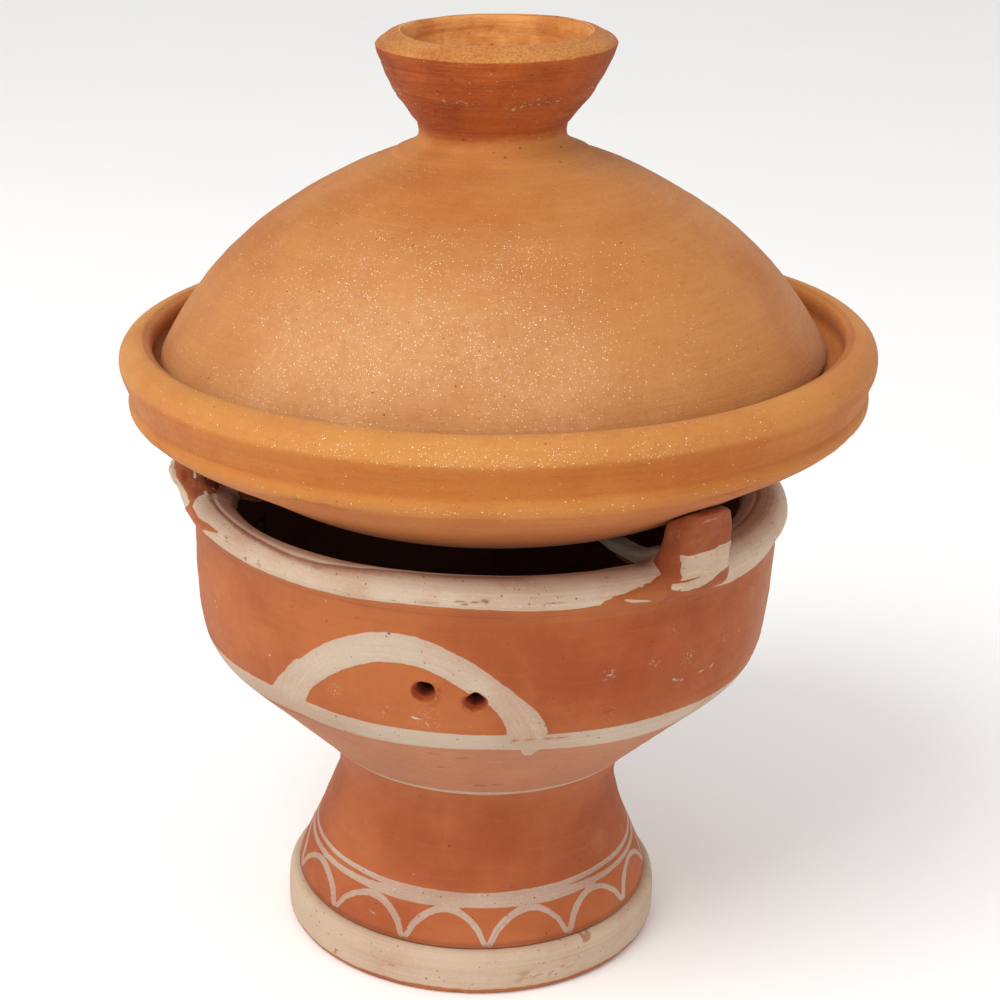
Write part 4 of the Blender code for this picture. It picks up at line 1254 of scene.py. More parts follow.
def knob_clay(name, gain, gold_gain):
    net = Net(name)
    f = clay_field(net, 7.0, 1.0)
    red, deep, pale = lin(205, 116, 62), lin(166, 84, 40), lin(222, 146, 88)
    gold, gold_deep = lin(222, 152, 92), lin(206, 128, 68)
    colour = net.mix(net.step(f["cloud"], 0.38, 0.66), red, deep)
    colour = net.mix(net.mul(net.step(f["blotch"], 0.46, 0.72), 0.6), colour, deep)
    colour = net.mix(net.mul(net.step(f["lines"], 0.50, 0.66), 0.35), colour, pale)
    colour = net.mix(net.mul(net.step(f["lines"], 0.47, 0.34), 0.40), colour, deep)
    colour = net.mix(net.mul(net.step(f["scratch"], 0.60, 0.74), 0.30), colour, lin(120, 54, 22))
    colour = net.mix(net.mul(net.step(f["scratch"], 0.38, 0.26), 0.30), colour, pale)
    colour = net.mix(net.mul(net.step(f["grain"], 0.56, 0.74), 0.4), colour, lin(120, 56, 26))
    colour = net.mix(net.mul(net.step(f["grain"], 0.42, 0.28), 0.3), colour, pale)
    lidlike = net.mix(net.step(f["cloud"], 0.40, 0.64), gold, gold_deep)
    lidlike = net.mix(net.mul(net.step(f["lines"], 0.44, 0.68), 0.3), lidlike, lin(228, 166, 108))
    colour, lidlike = net.gained(colour, gain), net.gained(lidlike, gold_gain)
    above = net.attr("fresh")
    colour = net.mix(net.step(net.add(above, net.mul(net.sub(f["blotch"], 0.5), 0.5)), 0.2, 0.8), lidlike, colour)
    # painted highlight: the lip's upper side and the inside of the knob's hollow are made paler, as if lit
    colour = net.mix(net.mul(net.attr("bloom_and_highlight"), 0.9), colour, net.mix(net.step(f["grain"], 0.40, 0.62), net.gained(lidlike, (1.12, 1.26, 1.36)), net.gained(lidlike, (0.86, 0.84, 0.78))))
    colour = net.mix(net.mul(net.attr("lit_cup"), 0.9), colour, net.mix(net.step(f["blotch"], 0.40, 0.62), lin(214, 150, 84), lin(190, 120, 58)))
    pit = net.specks(net.scaled(f["loc"], 0.6, 0.6, 1.3), 330.0, 0.12, 0.40)
    colour = net.mix(net.mul(pit, 0.7), colour, lin(96, 44, 20))
    torn = net.mul(net.step(net.noise(net.scaled(f["loc"], 1.0, 1.0, 2.2), 520.0, 3.0, 0.6), 0.53, 0.60), net.step(net.attr("torn"), 0.1, 0.9))
    colour = net.mix(net.mul(torn, 0.5), colour, lin(232, 170, 118))
    glint = net.specks(f["loc"], 900.0, 0.20, 0.07, 0.35)
    colour = net.mix(net.mul(glint, 0.6), colour, lin(250, 214, 172))
    rough = net.step(f["grit"], 0.3, 0.7, 0.68, 0.86)
    height = net.add(net.mul(f["lines"], 0.42), net.mul(f["grain"], 0.28))
    height = net.add(height, net.mul(f["scratch"], 0.20))
    height = net.add(height, net.mul(torn, 0.8))
    height = net.sub(net.add(height, net.mul(f["grit"], 0.22)), net.mul(pit, 0.5))
    return net.finish(colour, rough, height, 1.0, MM, 0.24)


def painted_clay(name, seed, clay, deep, pale, cream, thin, gain, cream_gain, soft=1.0, rubbed=False, cover=1.0,
                 grime_and_shade=lin(74, 44, 32)):
    """Red clay with cream slip brushed on it."""
    net = Net(name)
    f = clay_field(net, seed, 1.0)
    red = net.mix(net.step(f["cloud"], 0.38, 0.64), clay, deep)
    red = net.mix(net.mul(net.step(f["blotch"], 0.50, 0.76), 0.35), red, pale)
    red = net.mix(net.mul(net.step(f["lines"], 0.50, 0.72), 0.16), red, pale)
    red = net.mix(net.mul(net.step(f["lines"], 0.47, 0.28), 0.20), red, deep)
    red = net.mix(net.mul(net.step(f["scratch"], 0.62, 0.76), 0.25), red, deep)
    red = net.mix(net.mul(net.step(f["grain"], 0.56, 0.76), 0.22), red, deep)
    red = net.mix(net.mul(net.step(f["grain"], 0.44, 0.28), 0.18), red, pale)
    # a thin veil of slip wiped over the clay here and there, and its drops
    veil = net.mul(net.step(net.noise(net.scaled(f["loc"], 30.0, 30.0, 70.0), 1.0, 4.0, 0.7), 0.58, 0.80), 0.10)
    red = net.mix(veil, red, cream)
    drops = net.specks(f["loc"], 130.0, 0.06, 0.16)
    red = net.mix(net.mul(drops, 0.7), red, cream)
    pit = net.specks(f["loc"], 300.0, 0.09, 0.26)
    red = net.mix(net.mul(pit, 0.6), red, lin(92, 42, 24))
    red = net.gained(red, gain)
    # painted shade: the right side of the bowl's wall is made darker and redder
    red = net.mix(net.attr("right_side_shade"), red, net.gained(red, (0.88, 0.66, 0.64)))
    spatter = net.mul(net.step(net.noise(f["loc"], 1100.0, 2.0, 0.6), 0.56, 0.64), net.step(net.attr("dusty"), 0.1, 0.9))
    spatter = net.mul(spatter, net.step(net.noise(f["loc"], 260.0, 2.0, 0.6), 0.36, 0.50))
    red = net.mix(net.mul(spatter, 0.75), red, net.gained(cream, cream_gain))
    # painted sheen: pale greyish where the cone and the bowl's right side are seen at a grazing angle
    red = net.mix(net.mul(net.attr("grazing_sheen"), 0.27), red, lin(196, 156, 126))
    # darkened inside the bowl and under the dish: partly charcoal smoke, partly painted shade
    soot_and_shade = net.attr("soot_and_shade")
    red = net.mix(net.mul(soot_and_shade, 0.72), red, lin(58, 34, 26))
    # the slip: a wandering edge, brush streaks, thinner towards its edges
    depth = net.attr("slip")
    brush = net.attr("brush", True)
    streak = net.noise(brush, 1.25, 3.0, 0.62)
    fine = net.noise(brush, 3.4, 2.0, 0.6)
    edge = net.add(net.mul(net.sub(net.noise(f["loc"], 260.0, 2.0, 0.6), 0.5), 0.7 * soft),
                   net.mul(net.sub(net.noise(f["loc"], 900.0, 2.0, 0.6), 0.5), 0.5 * soft))
    edge = net.add(depth, edge)
    mask = net.step(edge, -0.22 * soft, 0.26 * soft)
    bare = net.mul(net.step(streak, 0.44, 0.26), 0.34)
    bare = net.add(bare, net.mul(net.step(fine, 0.42, 0.28), 0.22))
    bare = net.mul(bare, net.step(depth, 5.0, 0.2, 0.45, 1.0))
    bare = net.add(bare, net.mul(net.step(f["blotch"], 0.44, 0.28), 0.16))
    bare = net.add(bare, net.mul(net.step(f["grain"], 0.58, 0.74), 0.14))
    opacity = net.math('MULTIPLY', mask, net.sub(cover, bare), clamp=True)
    white = net.mix(net.step(f["cloud"], 0.40, 0.64), cream, thin)
    white = net.mix(net.mul(net.step(streak, 0.50, 0.70), 0.35), white, lin(222, 206, 184))
    white = net.mix(net.mul(net.step(f["grain"], 0.46, 0.30), 0.35), white, lin(228, 212, 190))
    white = net.gained(white, cream_gain)
    pinhole = net.specks(f["loc"], 370.0, 0.14, 0.5)
    white = net.mix(net.mul(pinhole, 0.7), white, lin(136, 92, 64))
    pitted = net.mul(net.specks(f["loc"], 560.0, 0.19, 0.42),
                     net.mul(net.attr("pits"), net.step(net.noise(f["loc"], 55.0, 3.0, 0.6), 0.44, 0.60)))
    white = net.mix(net.mul(pitted, 0.8), white, lin(112, 62, 38))
    knock = net.specks(f["loc"], 150.0, 0.085, 0.32)
    white = net.mix(net.mul(knock, 0.8), white, lin(122, 70, 46))
    if rubbed:
        rub = net.attr("rub")
        rub = net.add(rub, net.mul(net.sub(net.noise(brush, 0.9, 4.0, 0.66), 0.5), net.step(rub, 0.0, 0.5, 0.0, 0.8)))
        rub = net.math('ADD', rub, net.mul(net.sub(f["grit"], 0.5), net.step(rub, 0.0, 0.5, 0.0, 0.6)), clamp=True)
        rub = net.step(rub, 0.05, 0.95)
        opacity = net.mul(opacity, net.sub(1.0, net.mul(rub, 0.74)))
        red = net.mix(net.mul(rub, 0.8), red, lin(132, 90, 64))
    colour = net.mix(opacity, red, white)
    # darker scuffs, nicks and crumbs, and painted shade in the air holes and along the pedestal's joint with the foot
    # ring
    wear_and_shade = net.attr("wear_and_shade")
    colour = net.mix(net.mul(wear_and_shade, 0.88), colour, grime_and_shade)
    rough = net.mix(opacity, net.step(f["grit"], 0.3, 0.7, 0.70, 0.88), net.step(f["grit"], 0.3, 0.7, 0.80, 0.94))
    height = net.add(net.mul(f["lines"], 0.08), net.mul(f["grain"], 0.14))
    height = net.add(height, net.mul(f["grit"], 0.12))
    height = net.add(height, net.mul(opacity, net.add(0.06, net.mul(f["grain"], 0.10))))
    height = net.sub(height, net.mul(net.math('MAXIMUM', pit, net.mul(net.math('MAXIMUM', pinhole, knock), mask)), 0.35))
    return net.finish(colour, rough, height, 1.0, MM, 0.24)


# ------------------------------------------------------- putting it together
def polar(obj):
    co = coords(obj) / MM
    phi = np.degrees(np.arctan2(co[:, 0], -co[:, 1]))
    return co, phi, np.hypot(co[:, 0], co[:, 1]), co[:, 2]


made = build_turned()

# the bowl: holes, then its paint
bowl = made["brazier_bowl"]
centres = pierce(bowl)
co, phi, r, z = polar(bowl)
slip, brush = bowl_slip(phi, r, z)
for turn, height, a, b, seed in centres:
    local = co @ np.array(turn.to_3x3())
    x, y, h = local[:, 0], local[:, 1], local[:, 2] - height
    ang = np.arctan2(h, x)
    q = np.hypot(x / a, h / b) / (1 + 0.16 * noise(np.cos(ang) * 1.7, np.sin(ang) * 1.7, 0 * ang, 300 + seed))
    near = (y < -100) & (q < 2.2)
    slip = np.where(near, np.minimum(slip, (q - 1.04) * 3.0), slip)
slip = np.where((r < 116) & (z > 146) & (z < 158) & (slip > -1) & (r < 112.5), -3.0, slip)
open_up = rim_narrow(phi, r) * ramp(z, 158, 186) * (r < 110)
slip = np.where(r < np.interp(z, (84.3, 92, 97, 104, 116, 124, 128.7, 133, 137.5, 143, 187),
                              (62.5, 68, 73, 79, 92.5, 101.5, 105.5, 108, 109.3, 110.3, 110.5)), -5.0, slip)
# the bowl's inside is darkened: partly charcoal smoke, partly painted shade under the dish; less of it high on the
# right-hand inner wall
pipe, hole_shade = np.ones(len(co)), np.zeros(len(co))
for turn, height, a, b, seed in centres:
    local = co @ np.array(turn.to_3x3())
    pipe = np.where((local[:, 1] < -100) & (np.hypot(local[:, 0] / a, (local[:, 2] - height) / b) < 1.35),
                    1 - ramp(-local[:, 1], 106.5, 110.5), pipe)
    if seed > 20:
        # the tubes of the last arch's holes are painted dark, as shade inside the bowl
        hole_shade = np.maximum(hole_shade, (local[:, 1] < -100) * (1 - ramp(-local[:, 1], 112.2, 113.6))
                           * (1 - ramp(np.hypot(local[:, 0] / a, (local[:, 2] - height) / b), 1.02, 1.12)))
lighter = 1 - 0.75 * ramp(z, 140, 172) * bump(wrap(phi - 120), 0, 75)
give(bowl, "soot_and_shade", pipe * lighter * (r < np.interp(z, (96, 104, 116, 128, 140, 186), (66, 80, 95, 105, 110.5, 112.5)))
     * ramp(z, 90, 97) * 1.0 + 1.3 * hole_shade)
give(bowl, "slip", slip)
# painted shade on the right side of the bowl's outer wall
give(bowl, "right_side_shade", bump(wrap(phi - 30), 0, 26) * bump(z, 162, 26) * (r > 111.5))
give(bowl, "brush", brush)
give(bowl, "loc", co * MM)
give(bowl, "s", np.interp(-z, (-188, -137, -120, -84), (0, 51, 68, 118)) * MM)
dirt_and_shade = np.zeros(len(co))
for turn, height, a, b, seed in centres:
    local = co @ np.array(turn.to_3x3())
    x, y, h = local[:, 0], local[:, 1], local[:, 2] - height
    q = np.hypot(x / a, h / b)
    side = ramp(x / a, -0.2, 1.0) if seed % 10 == 1 else ramp(-x / a, -0.2, 1.0)
    speck = ramp(noise(x / 0.8, h / 0.8, 0 * x, 330 + seed), 0.05, 0.6)
    # painted shade inside the tubes of the front holes
    dirt_and_shade = np.maximum(dirt_and_shade, (seed < 20) * ramp(-y, 109.0, 111.5) * (1 - ramp(q, 0.92, 1.04)))
    dirt_and_shade = np.maximum(dirt_and_shade, (-y > 100) * 0.8 * bump(q, 1.2, 0.22) * side * speck)
smudge = np.hypot(wrap(phi - 24.1) * BOWL_MM, (z - 142.2) * 1.1)
dirt_and_shade = np.maximum(dirt_and_shade, 0.7 * ramp(noise(phi * 2.2, z * 0.9, 0 * z, 340) - (smudge / 6.0) ** 2, 0.0, 0.4) * (r > 112))
# the turning knife dragged grit round the cone
for a0, z0, a1, z1, w in ((-10.7, 120.9, -8.4, 120.5, 0.5), (-4.6, 118.8, -2.2, 119.0, 0.6), (-9.6, 109.2, -7.2, 109.5, 0.5),
                          (-0.9, 93.9, 2.6, 93.5, 0.6), (4.3, 94.4, 7.2, 95.0, 0.5), (33.0, 108.0, 33.8, 107.0, 0.6),
                          (19.3, 106.9, 20.2, 106.6, 0.5), (-31.0, 117.0, -28.0, 116.6, 0.4), (52.0, 112.0, 55.0, 112.6, 0.5),
                          (6.3, 132.8, 7.2, 132.8, 0.5), (8.6, 132.9, 10.6, 132.8, 0.35), (12.6, 133.0, 13.4, 133.1, 0.6),
                          (14.4, 133.1, 16.6, 133.3, 0.45), (-37.0, 176.4, -36.6, 176.4, 0.4), (-22.8, 179.3, -22.4, 179.0, 0.5),
                          (110.0, 112.0, 114.0, 111.6, 0.5), (-120.0, 108.0, -115.0, 108.4, 0.5), (170.0, 116.0, 174.0, 115.7, 0.5)):
    d, _, _ = stroke(wrap(phi - a0) * BOWL_MM, z, [(0, z0, w), (wrap(a1 - a0) * BOWL_MM, z1, w * 0.6)])
    dirt_and_shade = np.maximum(dirt_and_shade, 0.85 * ramp(d, -0.45, 0.35) * (r > np.interp(z, (84, 104, 124, 130), (60, 79, 101.5, 106))))
give(bowl, "wear_and_shade", dirt_and_shade)
dusty = np.zeros(len(co))
for a0, z0, radius, amount in FLAKES:
    dusty = np.maximum(dusty, amount * bump(np.hypot(wrap(phi - a0) * BOWL_MM, z - z0), 0, radius) * (r > 112))
give(bowl, "dusty", dusty)
# painted sheen on the cone and on the bowl's right side
give(bowl, "grazing_sheen", np.clip(1 - ramp(z, 122, 134) + 1.0 * ramp(phi, 58, 76) * (1 - ramp(phi, 100, 130)), 0, 1) * (r > 60))
co[:, :2] *= (1 + open_up / np.maximum(r, 1))[:, None]
bowl.data.vertices.foreach_set("co", (co * MM).astype(np.float32).ravel())
bowl.data.update()

ring = made["foot_ring"]
co, phi, r, z = polar(ring)
c, n = np.cos(np.radians(phi)), np.sin(np.radians(phi))
bottom = (z - (3.1 + 0.35 * noise(c * 5, n * 5, 0 * c, 55) + 0.2 * noise(c * 30, n * 30, 0 * c, 58)))
give(ring, "slip", np.minimum(bottom, np.where(r > 70, 3.0, 3.0)))
worn = bump(wrap(phi - 22), 0, 17) * bump(z, 7.4, 3.4)
worn = worn * ramp(noise(c * 26, n * 26, z / 1.3, 56) + 0.5 * noise(c * 60, n * 60, z / 0.9, 59), -0.05, 0.7)
chip = ramp(0.55 * noise(c * 40, n * 40, z / 1.6, 60) + 1.0 - np.hypot(wrap(phi - 36.5) * 1.38 / 3.6, (z - 18.2) / 2.4), 0.1, 0.5)
marks = np.maximum(ramp(1.2 - np.hypot(wrap(phi + 45.0) * 1.38 / 1.6, (z - 5.0) / 2.0) + 0.5 * noise(c * 50, n * 50, z, 62), 0.3, 0.8),
                   0.6 * ramp(1.2 - np.hypot(wrap(phi + 24.0) * 1.38 / 3.0, (z - 9.5) / 0.8) + 0.4 * noise(c * 50, n * 50, z, 63), 0.3, 0.8))
give(ring, "rub", np.clip(0.75 * worn + chip + marks, 0, 1))
give(ring, "brush", np.stack([c * 0.5, n * 0.5, z], 1))
give(ring, "wear_and_shade", 0.5 * ramp(2.0 - z, 0.4, 1.6) * np.maximum(noise(c * 14, n * 14, z / 2, 57), 0))

foot = made["pedestal"]
co, phi, r, z = polar(foot)
slip, brush = foot_slip(phi, z)
outside = coords(foot)[:, 0] * 0 + (r > np.interp(z, (19.0, 31.0, 44.0, 57.0, 85.0), (68.0, 66.0, 58.5, 54.5, 54.0)))
give(foot, "slip", np.where(outside > 0, slip, -9.0))
give(foot, "brush", brush)
# painted shadow: a dark line low on the pedestal, just above the foot ring
give(foot, "wear_and_shade", 0.35 * bump(z, 21.0, 0.8) * (r > 70))

rim = made["brazier_rim"]
co, phi, r, z = polar(rim)
# the rim's lower edge is wiped down onto the wall: lay its skirt on the wall's own surface
bm = bmesh.new()
bm.from_mesh(bowl.data)
wall = BVHTree.FromBMesh(bm)
skirt = np.nonzero((z < 185.2) & (r > 117.8))[0]
for k in skirt:
    out = Vector((co[k, 0], co[k, 1], 0)).normalized()
    hit = wall.ray_cast(Vector((out.x * 0.14, out.y * 0.14, co[k, 2] * MM)), -out)[0]
    if hit is None:
        continue
    here = hit.xy.length / MM
    proud = r[k] - np.interp(z[k], (173, 180, 185, 187.4), (118.4, 118.6, 118.9, 118.6))
    w = float(ramp(np.array([z[k]]), 181.6, 185.2)[0])
    sunk = 0.5 * float(ramp(np.array([182.0 - z[k]]), 0.0, 1.2)[0])
    co[k, :2] *= (here + proud * w + 0.02 - sunk) / r[k]
bm.free()
r = np.hypot(co[:, 0], co[:, 1])
s = np.empty(len(co), np.float32)
rim.data.attributes["s"].data.foreach_get("value", s)
t = s / MM - RIM_START
slip = rim_slip(phi, t)
c, n = np.cos(np.radians(phi)), np.sin(np.radians(phi))
give(rim, "slip", slip)
give(rim, "brush", np.stack([c * 1.1, n * 1.1, t * 0.9], 1))
give(rim, "rub", rim_rub(phi, t))
give(rim, "pits", ramp(t, 0.5, 3.0) * (1 - ramp(t, 15.0, 22.0)) * (0.35 + 0.65 * bump(wrap(phi + 8), 0, 48)))
nicks = np.zeros(len(co))
for a0, t0, half_a, half_t, amount in ((0.1, 9.0, 0.75, 0.6, 1.0), (-1.6, 8.7, 0.5, 0.4, 0.9), (-4.0, 8.5, 0.8, 0.4, 0.7), (-3.1, 7.7, 0.4, 0.35, 0.8),
                                       (-15.4, 6.3, 0.3, 0.3, 0.8), (-30.2, 13.0, 1.1, 0.5, 0.4), (-46.8, 6.9, 0.35, 0.8, 0.9),
                                       (-42.9, 7.0, 0.9, 0.9, 0.45), (-53.7, 10.9, 0.3, 0.9, 0.9), (-52.6, 9.4, 0.3, 0.7, 0.8),
                                       (-9.0, 7.2, 2.4, 0.5, 0.35), (12.0, 8.0, 1.6, 0.4, 0.5), (84.0, 12.0, 0.4, 0.7, 0.7),
                                       (140.0, 9.0, 1.2, 0.6, 0.6), (-120.0, 8.0, 0.8, 0.6, 0.7)):
    q = np.hypot(wrap(phi - a0) / half_a, (t - t0) / half_t) + 0.5 * noise(c * 150, n * 150, t / 0.7, 46)
    nicks = np.maximum(nicks, amount * (1 - ramp(q, 0.75, 1.15)) * (np.abs(wrap(phi - a0)) < 8))
score = bump(t, rim_line(phi), 0.42) * (0.7 + 0.5 * noise(c * 9, n * 9, 0 * c, 45)) * (r > 104)
give(rim, "wear_and_shade", np.clip(np.maximum(0.62 * score, nicks), 0, 1))
wide = rim_narrow(phi, r)
co[:, :2] *= (1 + wide / np.maximum(r, 1))[:, None]
rim.data.vertices.foreach_set("co", (co * MM).astype(np.float32).ravel())
rim.data.update()

dish = made["dish"]
co, phi, r, z = polar(dish)
front = bump(wrap(phi - 5), 0, 34)
# glints painted thickest on the dish's front rolls
give(dish, "mica_glint", np.clip(0.95 * bump(wrap(phi + 2), 0, 30) * ramp(z, 251.2, 252.6) * ramp(r, 134, 140) * (1 - 0.7 * ramp(z, 255.5, 260))
                           + 0.8 * bump(wrap(phi - 4), 0, 34) * bump(z, 235.0, 1.7) * (r > 140)
                           + 0.08 * ramp(z, 234, 240), 0, 1))
band = bump(wrap(phi + 2), 0, 44)
# painted shade under the lower roll, on the upper roll's front face and inside the lip
give(dish, "dish_shade", np.where(r > 100, np.clip(0.75 * (1 - ramp(z, 231.9, 232.8)) + 0.15 * (1 - ramp(z, 226, 231))
                                             + (0.35 + 0.45 * band) * ramp(z, 237.5, 241.0) * (1 - ramp(z, 250.6, 252.4)) * (r > 140)
                                             + 0.5 * (1 - ramp(r, 138, 142)) * (1 - ramp(z, 259, 261)) * (z > 235), 0, 1),
                            1.0) * (r < 150))
# a pale film on the upper roll's top, its front and its left edge: partly dusty, partly painted highlight and painted
# sheen
give(dish, "dust_and_highlight", np.clip(ramp(z, 252.0, 253.2) * ramp(r, 136, 142) * (0.45 + 0.55 * band + 0.5 * bump(wrap(phi + 88), 0, 32))
                           + 0.5 * bump(z, 235.4, 2.4) * (r > 140) * band, 0, 1))
c, n = np.cos(np.radians(phi)), np.sin(np.radians(phi))
zig = 232.9 + 0.5 * noise(c * 30, n * 30, 0 * c, 95)
torn = ramp(noise(c * 7.0, n * 7.0, 0.4 + 0 * c, 94), 0.0, 0.45)
# dark cracks along the lower roll's torn edge, and painted shade in the groove between the rolls at the sides
give(dish, "wear_and_shade", np.where(r > 138, 0.9 * torn * bump(z, zig, 0.45), 0.0)
     + 0.5 * bump(z, 239.9, 0.6) * (r > 140) * (1 - bump(wrap(phi + 2), 0, 36)))

lid = made["lid_dome"]
co, phi, r, z = polar(lid)
side = np.abs(wrap(phi + 6))
# glints painted thickest on the lid's front
give(lid, "mica_glint", bump(side, 0, 36) * ramp(r, 62, 88) * (1 - 0.4 * ramp(r, 118, 130))
     + 0.25 * bump(wrap(phi + 50), 0, 30))
# a pale film low on the front and at the right edge: partly dusty, partly painted highlight and painted sheen
give(lid, "dust_and_highlight", np.clip(bump(wrap(phi + 14), 0, 44) * ramp(r, 86, 118) + 0.5 * bump(wrap(phi + 16), 0, 34) * ramp(r, 62, 84)
                         + 0.7 * bump(wrap(phi - 86), 0, 22) * ramp(r, 100, 122), 0, 1))
# a darker band along the lid's lower edge
give(lid, "wear_and_shade", 0.5 * bump(z, 252.6, 0.9) * (r > 125) + 0.0 * z)

knob = made["lid_knob"]
lid_at, knob_at = np.empty(len(lid.data.vertices), np.float32), np.empty(len(knob.data.vertices), np.float32)
lid.data.attributes["s"].data.foreach_get("value", lid_at)
knob.data.attributes["s"].data.foreach_get("value", knob_at)
join_lid = np.abs(r - 37.0) + 100 * (z < 326)
co, phi, r, z = polar(knob)
join_knob = np.abs(r - 37.0) + 100 * (z > 332) + 100 * (z < 329.6)
knob_at = knob_at + lid_at[join_lid.argmin()] - knob_at[join_knob.argmin()]
give(knob, "s", knob_at)
give(knob, "fresh", ramp(z, 331.0, 345.0))
up = np.empty(len(co) * 3, np.float32)
knob.data.vertices.foreach_get("normal", up)
up = up.reshape(-1, 3)[:, 2]
# painted highlight: the upward-facing side of the lip is made paler
give(knob, "bloom_and_highlight", ramp(up, 0.05, 0.5) * ramp(z, 344, 352))
inward = np.empty(len(co) * 3, np.float32)
knob.data.vertices.foreach_get("normal", inward)
inward = inward.reshape(-1, 3)
inward = -(inward[:, 0] * co[:, 0] + inward[:, 1] * co[:, 1]) / np.maximum(r, 1)
# painted light: the inside of the knob's hollow is made paler and yellower, as if lit
lit_cup = np.clip(ramp(inward, 0.05, 0.30) * (z > 340) + (r < 26) * (z > 336), 0, 1)
give(knob, "lit_cup", lit_cup)
give(knob, "torn", (1 - lit_cup) * bump(z, 354.0, 5.5)
     * ramp(noise(np.cos(np.radians(phi)) * 5, np.sin(np.radians(phi)) * 5, z / 3, 341), -0.1, 0.5))

for piece, frame_of in (("foot_ring", BRAZIER_FRAME), ("pedestal", BRAZIER_FRAME),
                        ("brazier_bowl", BRAZIER_FRAME), ("brazier_rim", BRAZIER_FRAME),
                        ("dish", DISH_FRAME), ("lid_dome", LID_FRAME), ("lid_knob", LID_FRAME)):
    obj = made[piece]
    if piece == "foot_ring":
        obj.data.transform(Matrix.Translation((0.0, 0, 0)))
    move(obj, frame_of)
lugs = build_lugs()
for obj in lugs.values():
    give(obj, "wear_and_shade", np.zeros(len(obj.data.vertices)))
    move(obj, BRAZIER_FRAME)
made.update(lugs)

CLAY = (lin(196, 122, 80), lin(178, 102, 64), lin(208, 140, 98))
CREAM, THIN = lin(214, 192, 164), lin(204, 172, 142)
# how much of each colour the clay gives back under the studio light
G_DISH = (0.63, 0.52, 0.31)
G_LID = (0.62, 0.54, 0.35)
G_KNOB = (0.62, 0.45, 0.23)
G_RED = (0.69, 0.56, 0.37)
G_FOOT = (0.74, 0.65, 0.46)
G_LUG = (0.61, 0.47, 0.36)
G_CREAM = (0.70, 0.69, 0.73)
G_RIM = (0.77, 0.79, 0.82)
looks = {
    "foot_ring": painted_clay("ring_slip_clay", 1.0, *CLAY, lin(220, 194, 162), lin(212, 182, 150),
                              G_FOOT, G_CREAM, 0.5, rubbed=True),
    "pedestal": painted_clay("pedestal_clay", 2.0, lin(190, 112, 76), lin(172, 92, 60), lin(200, 126, 88),
                             lin(208, 182, 158), lin(194, 158, 132), G_FOOT, G_CREAM, 0.7, cover=0.94),
    "brazier_bowl": painted_clay("bowl_clay", 4.0, *CLAY, CREAM, THIN, G_RED, G_CREAM, 0.9, grime_and_shade=lin(150, 62, 28)),
    "brazier_rim": painted_clay("rim_clay", 4.0, *CLAY, lin(216, 190, 164), lin(202, 168, 138),
                                G_RED, G_RIM, 0.9, rubbed=True, grime_and_shade=lin(104, 56, 34)),
    "dish": golden_clay("dish_clay", 6.0, lin(224, 154, 90), lin(212, 134, 68), lin(230, 174, 118), G_DISH,
                        lin(238, 188, 132)),
    "lid_dome": golden_clay("lid_clay", 7.0, lin(220, 152, 94), lin(206, 130, 70), lin(228, 174, 122), G_LID,
                            lin(244, 196, 168)),
    "lid_knob": knob_clay("knob_clay", G_KNOB, G_LID),
}
for k, name in enumerate(("lug_right", "lug_back", "lug_left")):
    looks[name] = painted_clay(name + "_clay", 8.0 + k, *CLAY, lin(214, 190, 160), lin(204, 170, 140),
                               G_LUG, G_RIM, 0.6, rubbed=True)

BODY = {"dish": "dish_body", "lid_dome": "lid", "lid_knob": "lid"}
for piece, obj in made.items():
    obj.data.materials.clear()
    obj.data.materials.append(looks[piece])
    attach(obj, BODY.get(piece, "brazier"))
    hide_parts(piece)


# ----------------------------------------------------- floor, light and camera
def floor_material():
    net = Net("studio_floor")
    where = net.put("ShaderNodeNewGeometry").outputs["Position"]
    shade = net.step(net.noise(where, 2.2, 3.0, 0.5), 0.3, 0.7)
    colour = net.mix(shade, (0.945, 0.945, 0.94, 1.0), (0.96, 0.96, 0.955, 1.0))
    return net.finish(colour, 0.85, net.noise(where, 400.0, 2.0, 0.5), 0.1, 0.0002, 0.2, 0.0)


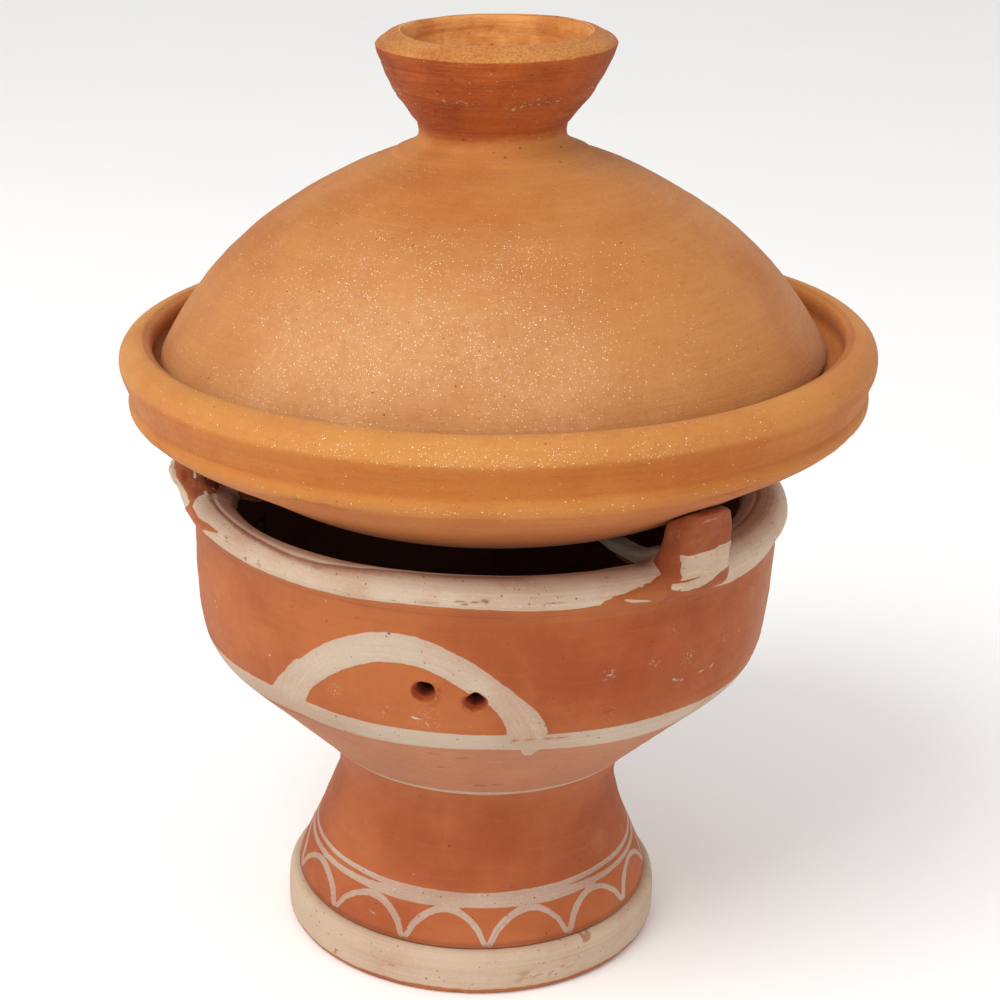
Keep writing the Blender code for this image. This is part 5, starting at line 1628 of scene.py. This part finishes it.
floor_mesh = bpy.data.meshes.new("floor")
floor_mesh.from_pydata([(-6, -6, 0), (6, -6, 0), (6, 6, 0), (-6, 6, 0)], [], [(0, 1, 2, 3)])
floor = bpy.data.objects.new("floor", floor_mesh)
bpy.context.scene.collection.objects.link(floor)
floor.data.materials.append(floor_material())

world = bpy.data.worlds.new("studio")
bpy.context.scene.world = world
world.use_nodes = True
world.node_tree.nodes["Background"].inputs[0].default_value = (1.0, 0.99, 0.975, 1.0)
world.node_tree.nodes["Background"].inputs[1].default_value = 0.80


def lamp(name, place, aim, size, power, colour=(1.0, 1.0, 1.0)):
    data = bpy.data.lights.new(name, 'AREA')
    data.shape, data.size, data.energy, data.color = 'DISK', size, power, colour
    obj = bpy.data.objects.new(name, data)
    obj.location = place
    obj.rotation_euler = (Vector(aim) - Vector(place)).to_track_quat('-Z', 'Y').to_euler()
    bpy.context.scene.collection.objects.link(obj)
    return obj


lamp("low", (-1.25, -1.35, 0.36), (0.0, 0.0, 0.19), 0.5, 1.6)
lamp("side", (1.7, -1.3, 0.7), (0.0, 0.0, 0.12), 1.2, 5.0)
lamp("key", (-1.15, -1.25, 2.1), (0.0, 0.0, 0.2), 1.7, 44.0, (1.0, 0.99, 0.975))

pitch, roll = math.radians(20.341), math.radians(-1.713)
forward = Vector((0, math.cos(pitch), -math.sin(pitch)))
above = Vector((0, math.sin(pitch), math.cos(pitch)))
right = Vector((1, 0, 0))
cx = math.cos(roll) * right - math.sin(roll) * above
cy = math.sin(roll) * right + math.cos(roll) * above
view = Matrix((cx, cy, -forward)).transposed().to_4x4()
view.translation = (-0.0028, -0.81245, 0.48680)
eye = bpy.data.cameras.new("photo_view")
eye.sensor_width, eye.sensor_fit = 36.0, 'HORIZONTAL'
eye.lens = 2111.2 * 36.0 / 1000.0
eye.shift_x = (500.0 - 486.43) / 1000.0
eye.shift_y = (499.71 - 500.0) / 1000.0
eye.clip_start, eye.clip_end = 0.05, 30.0
eye.dof.use_dof = False
camera = bpy.data.objects.new("photo_view", eye)
camera.matrix_world = view
bpy.context.scene.collection.objects.link(camera)
bpy.context.scene.camera = camera
bpy.context.scene.view_settings.view_transform = 'Standard'
bpy.context.scene.view_settings.look = 'None'
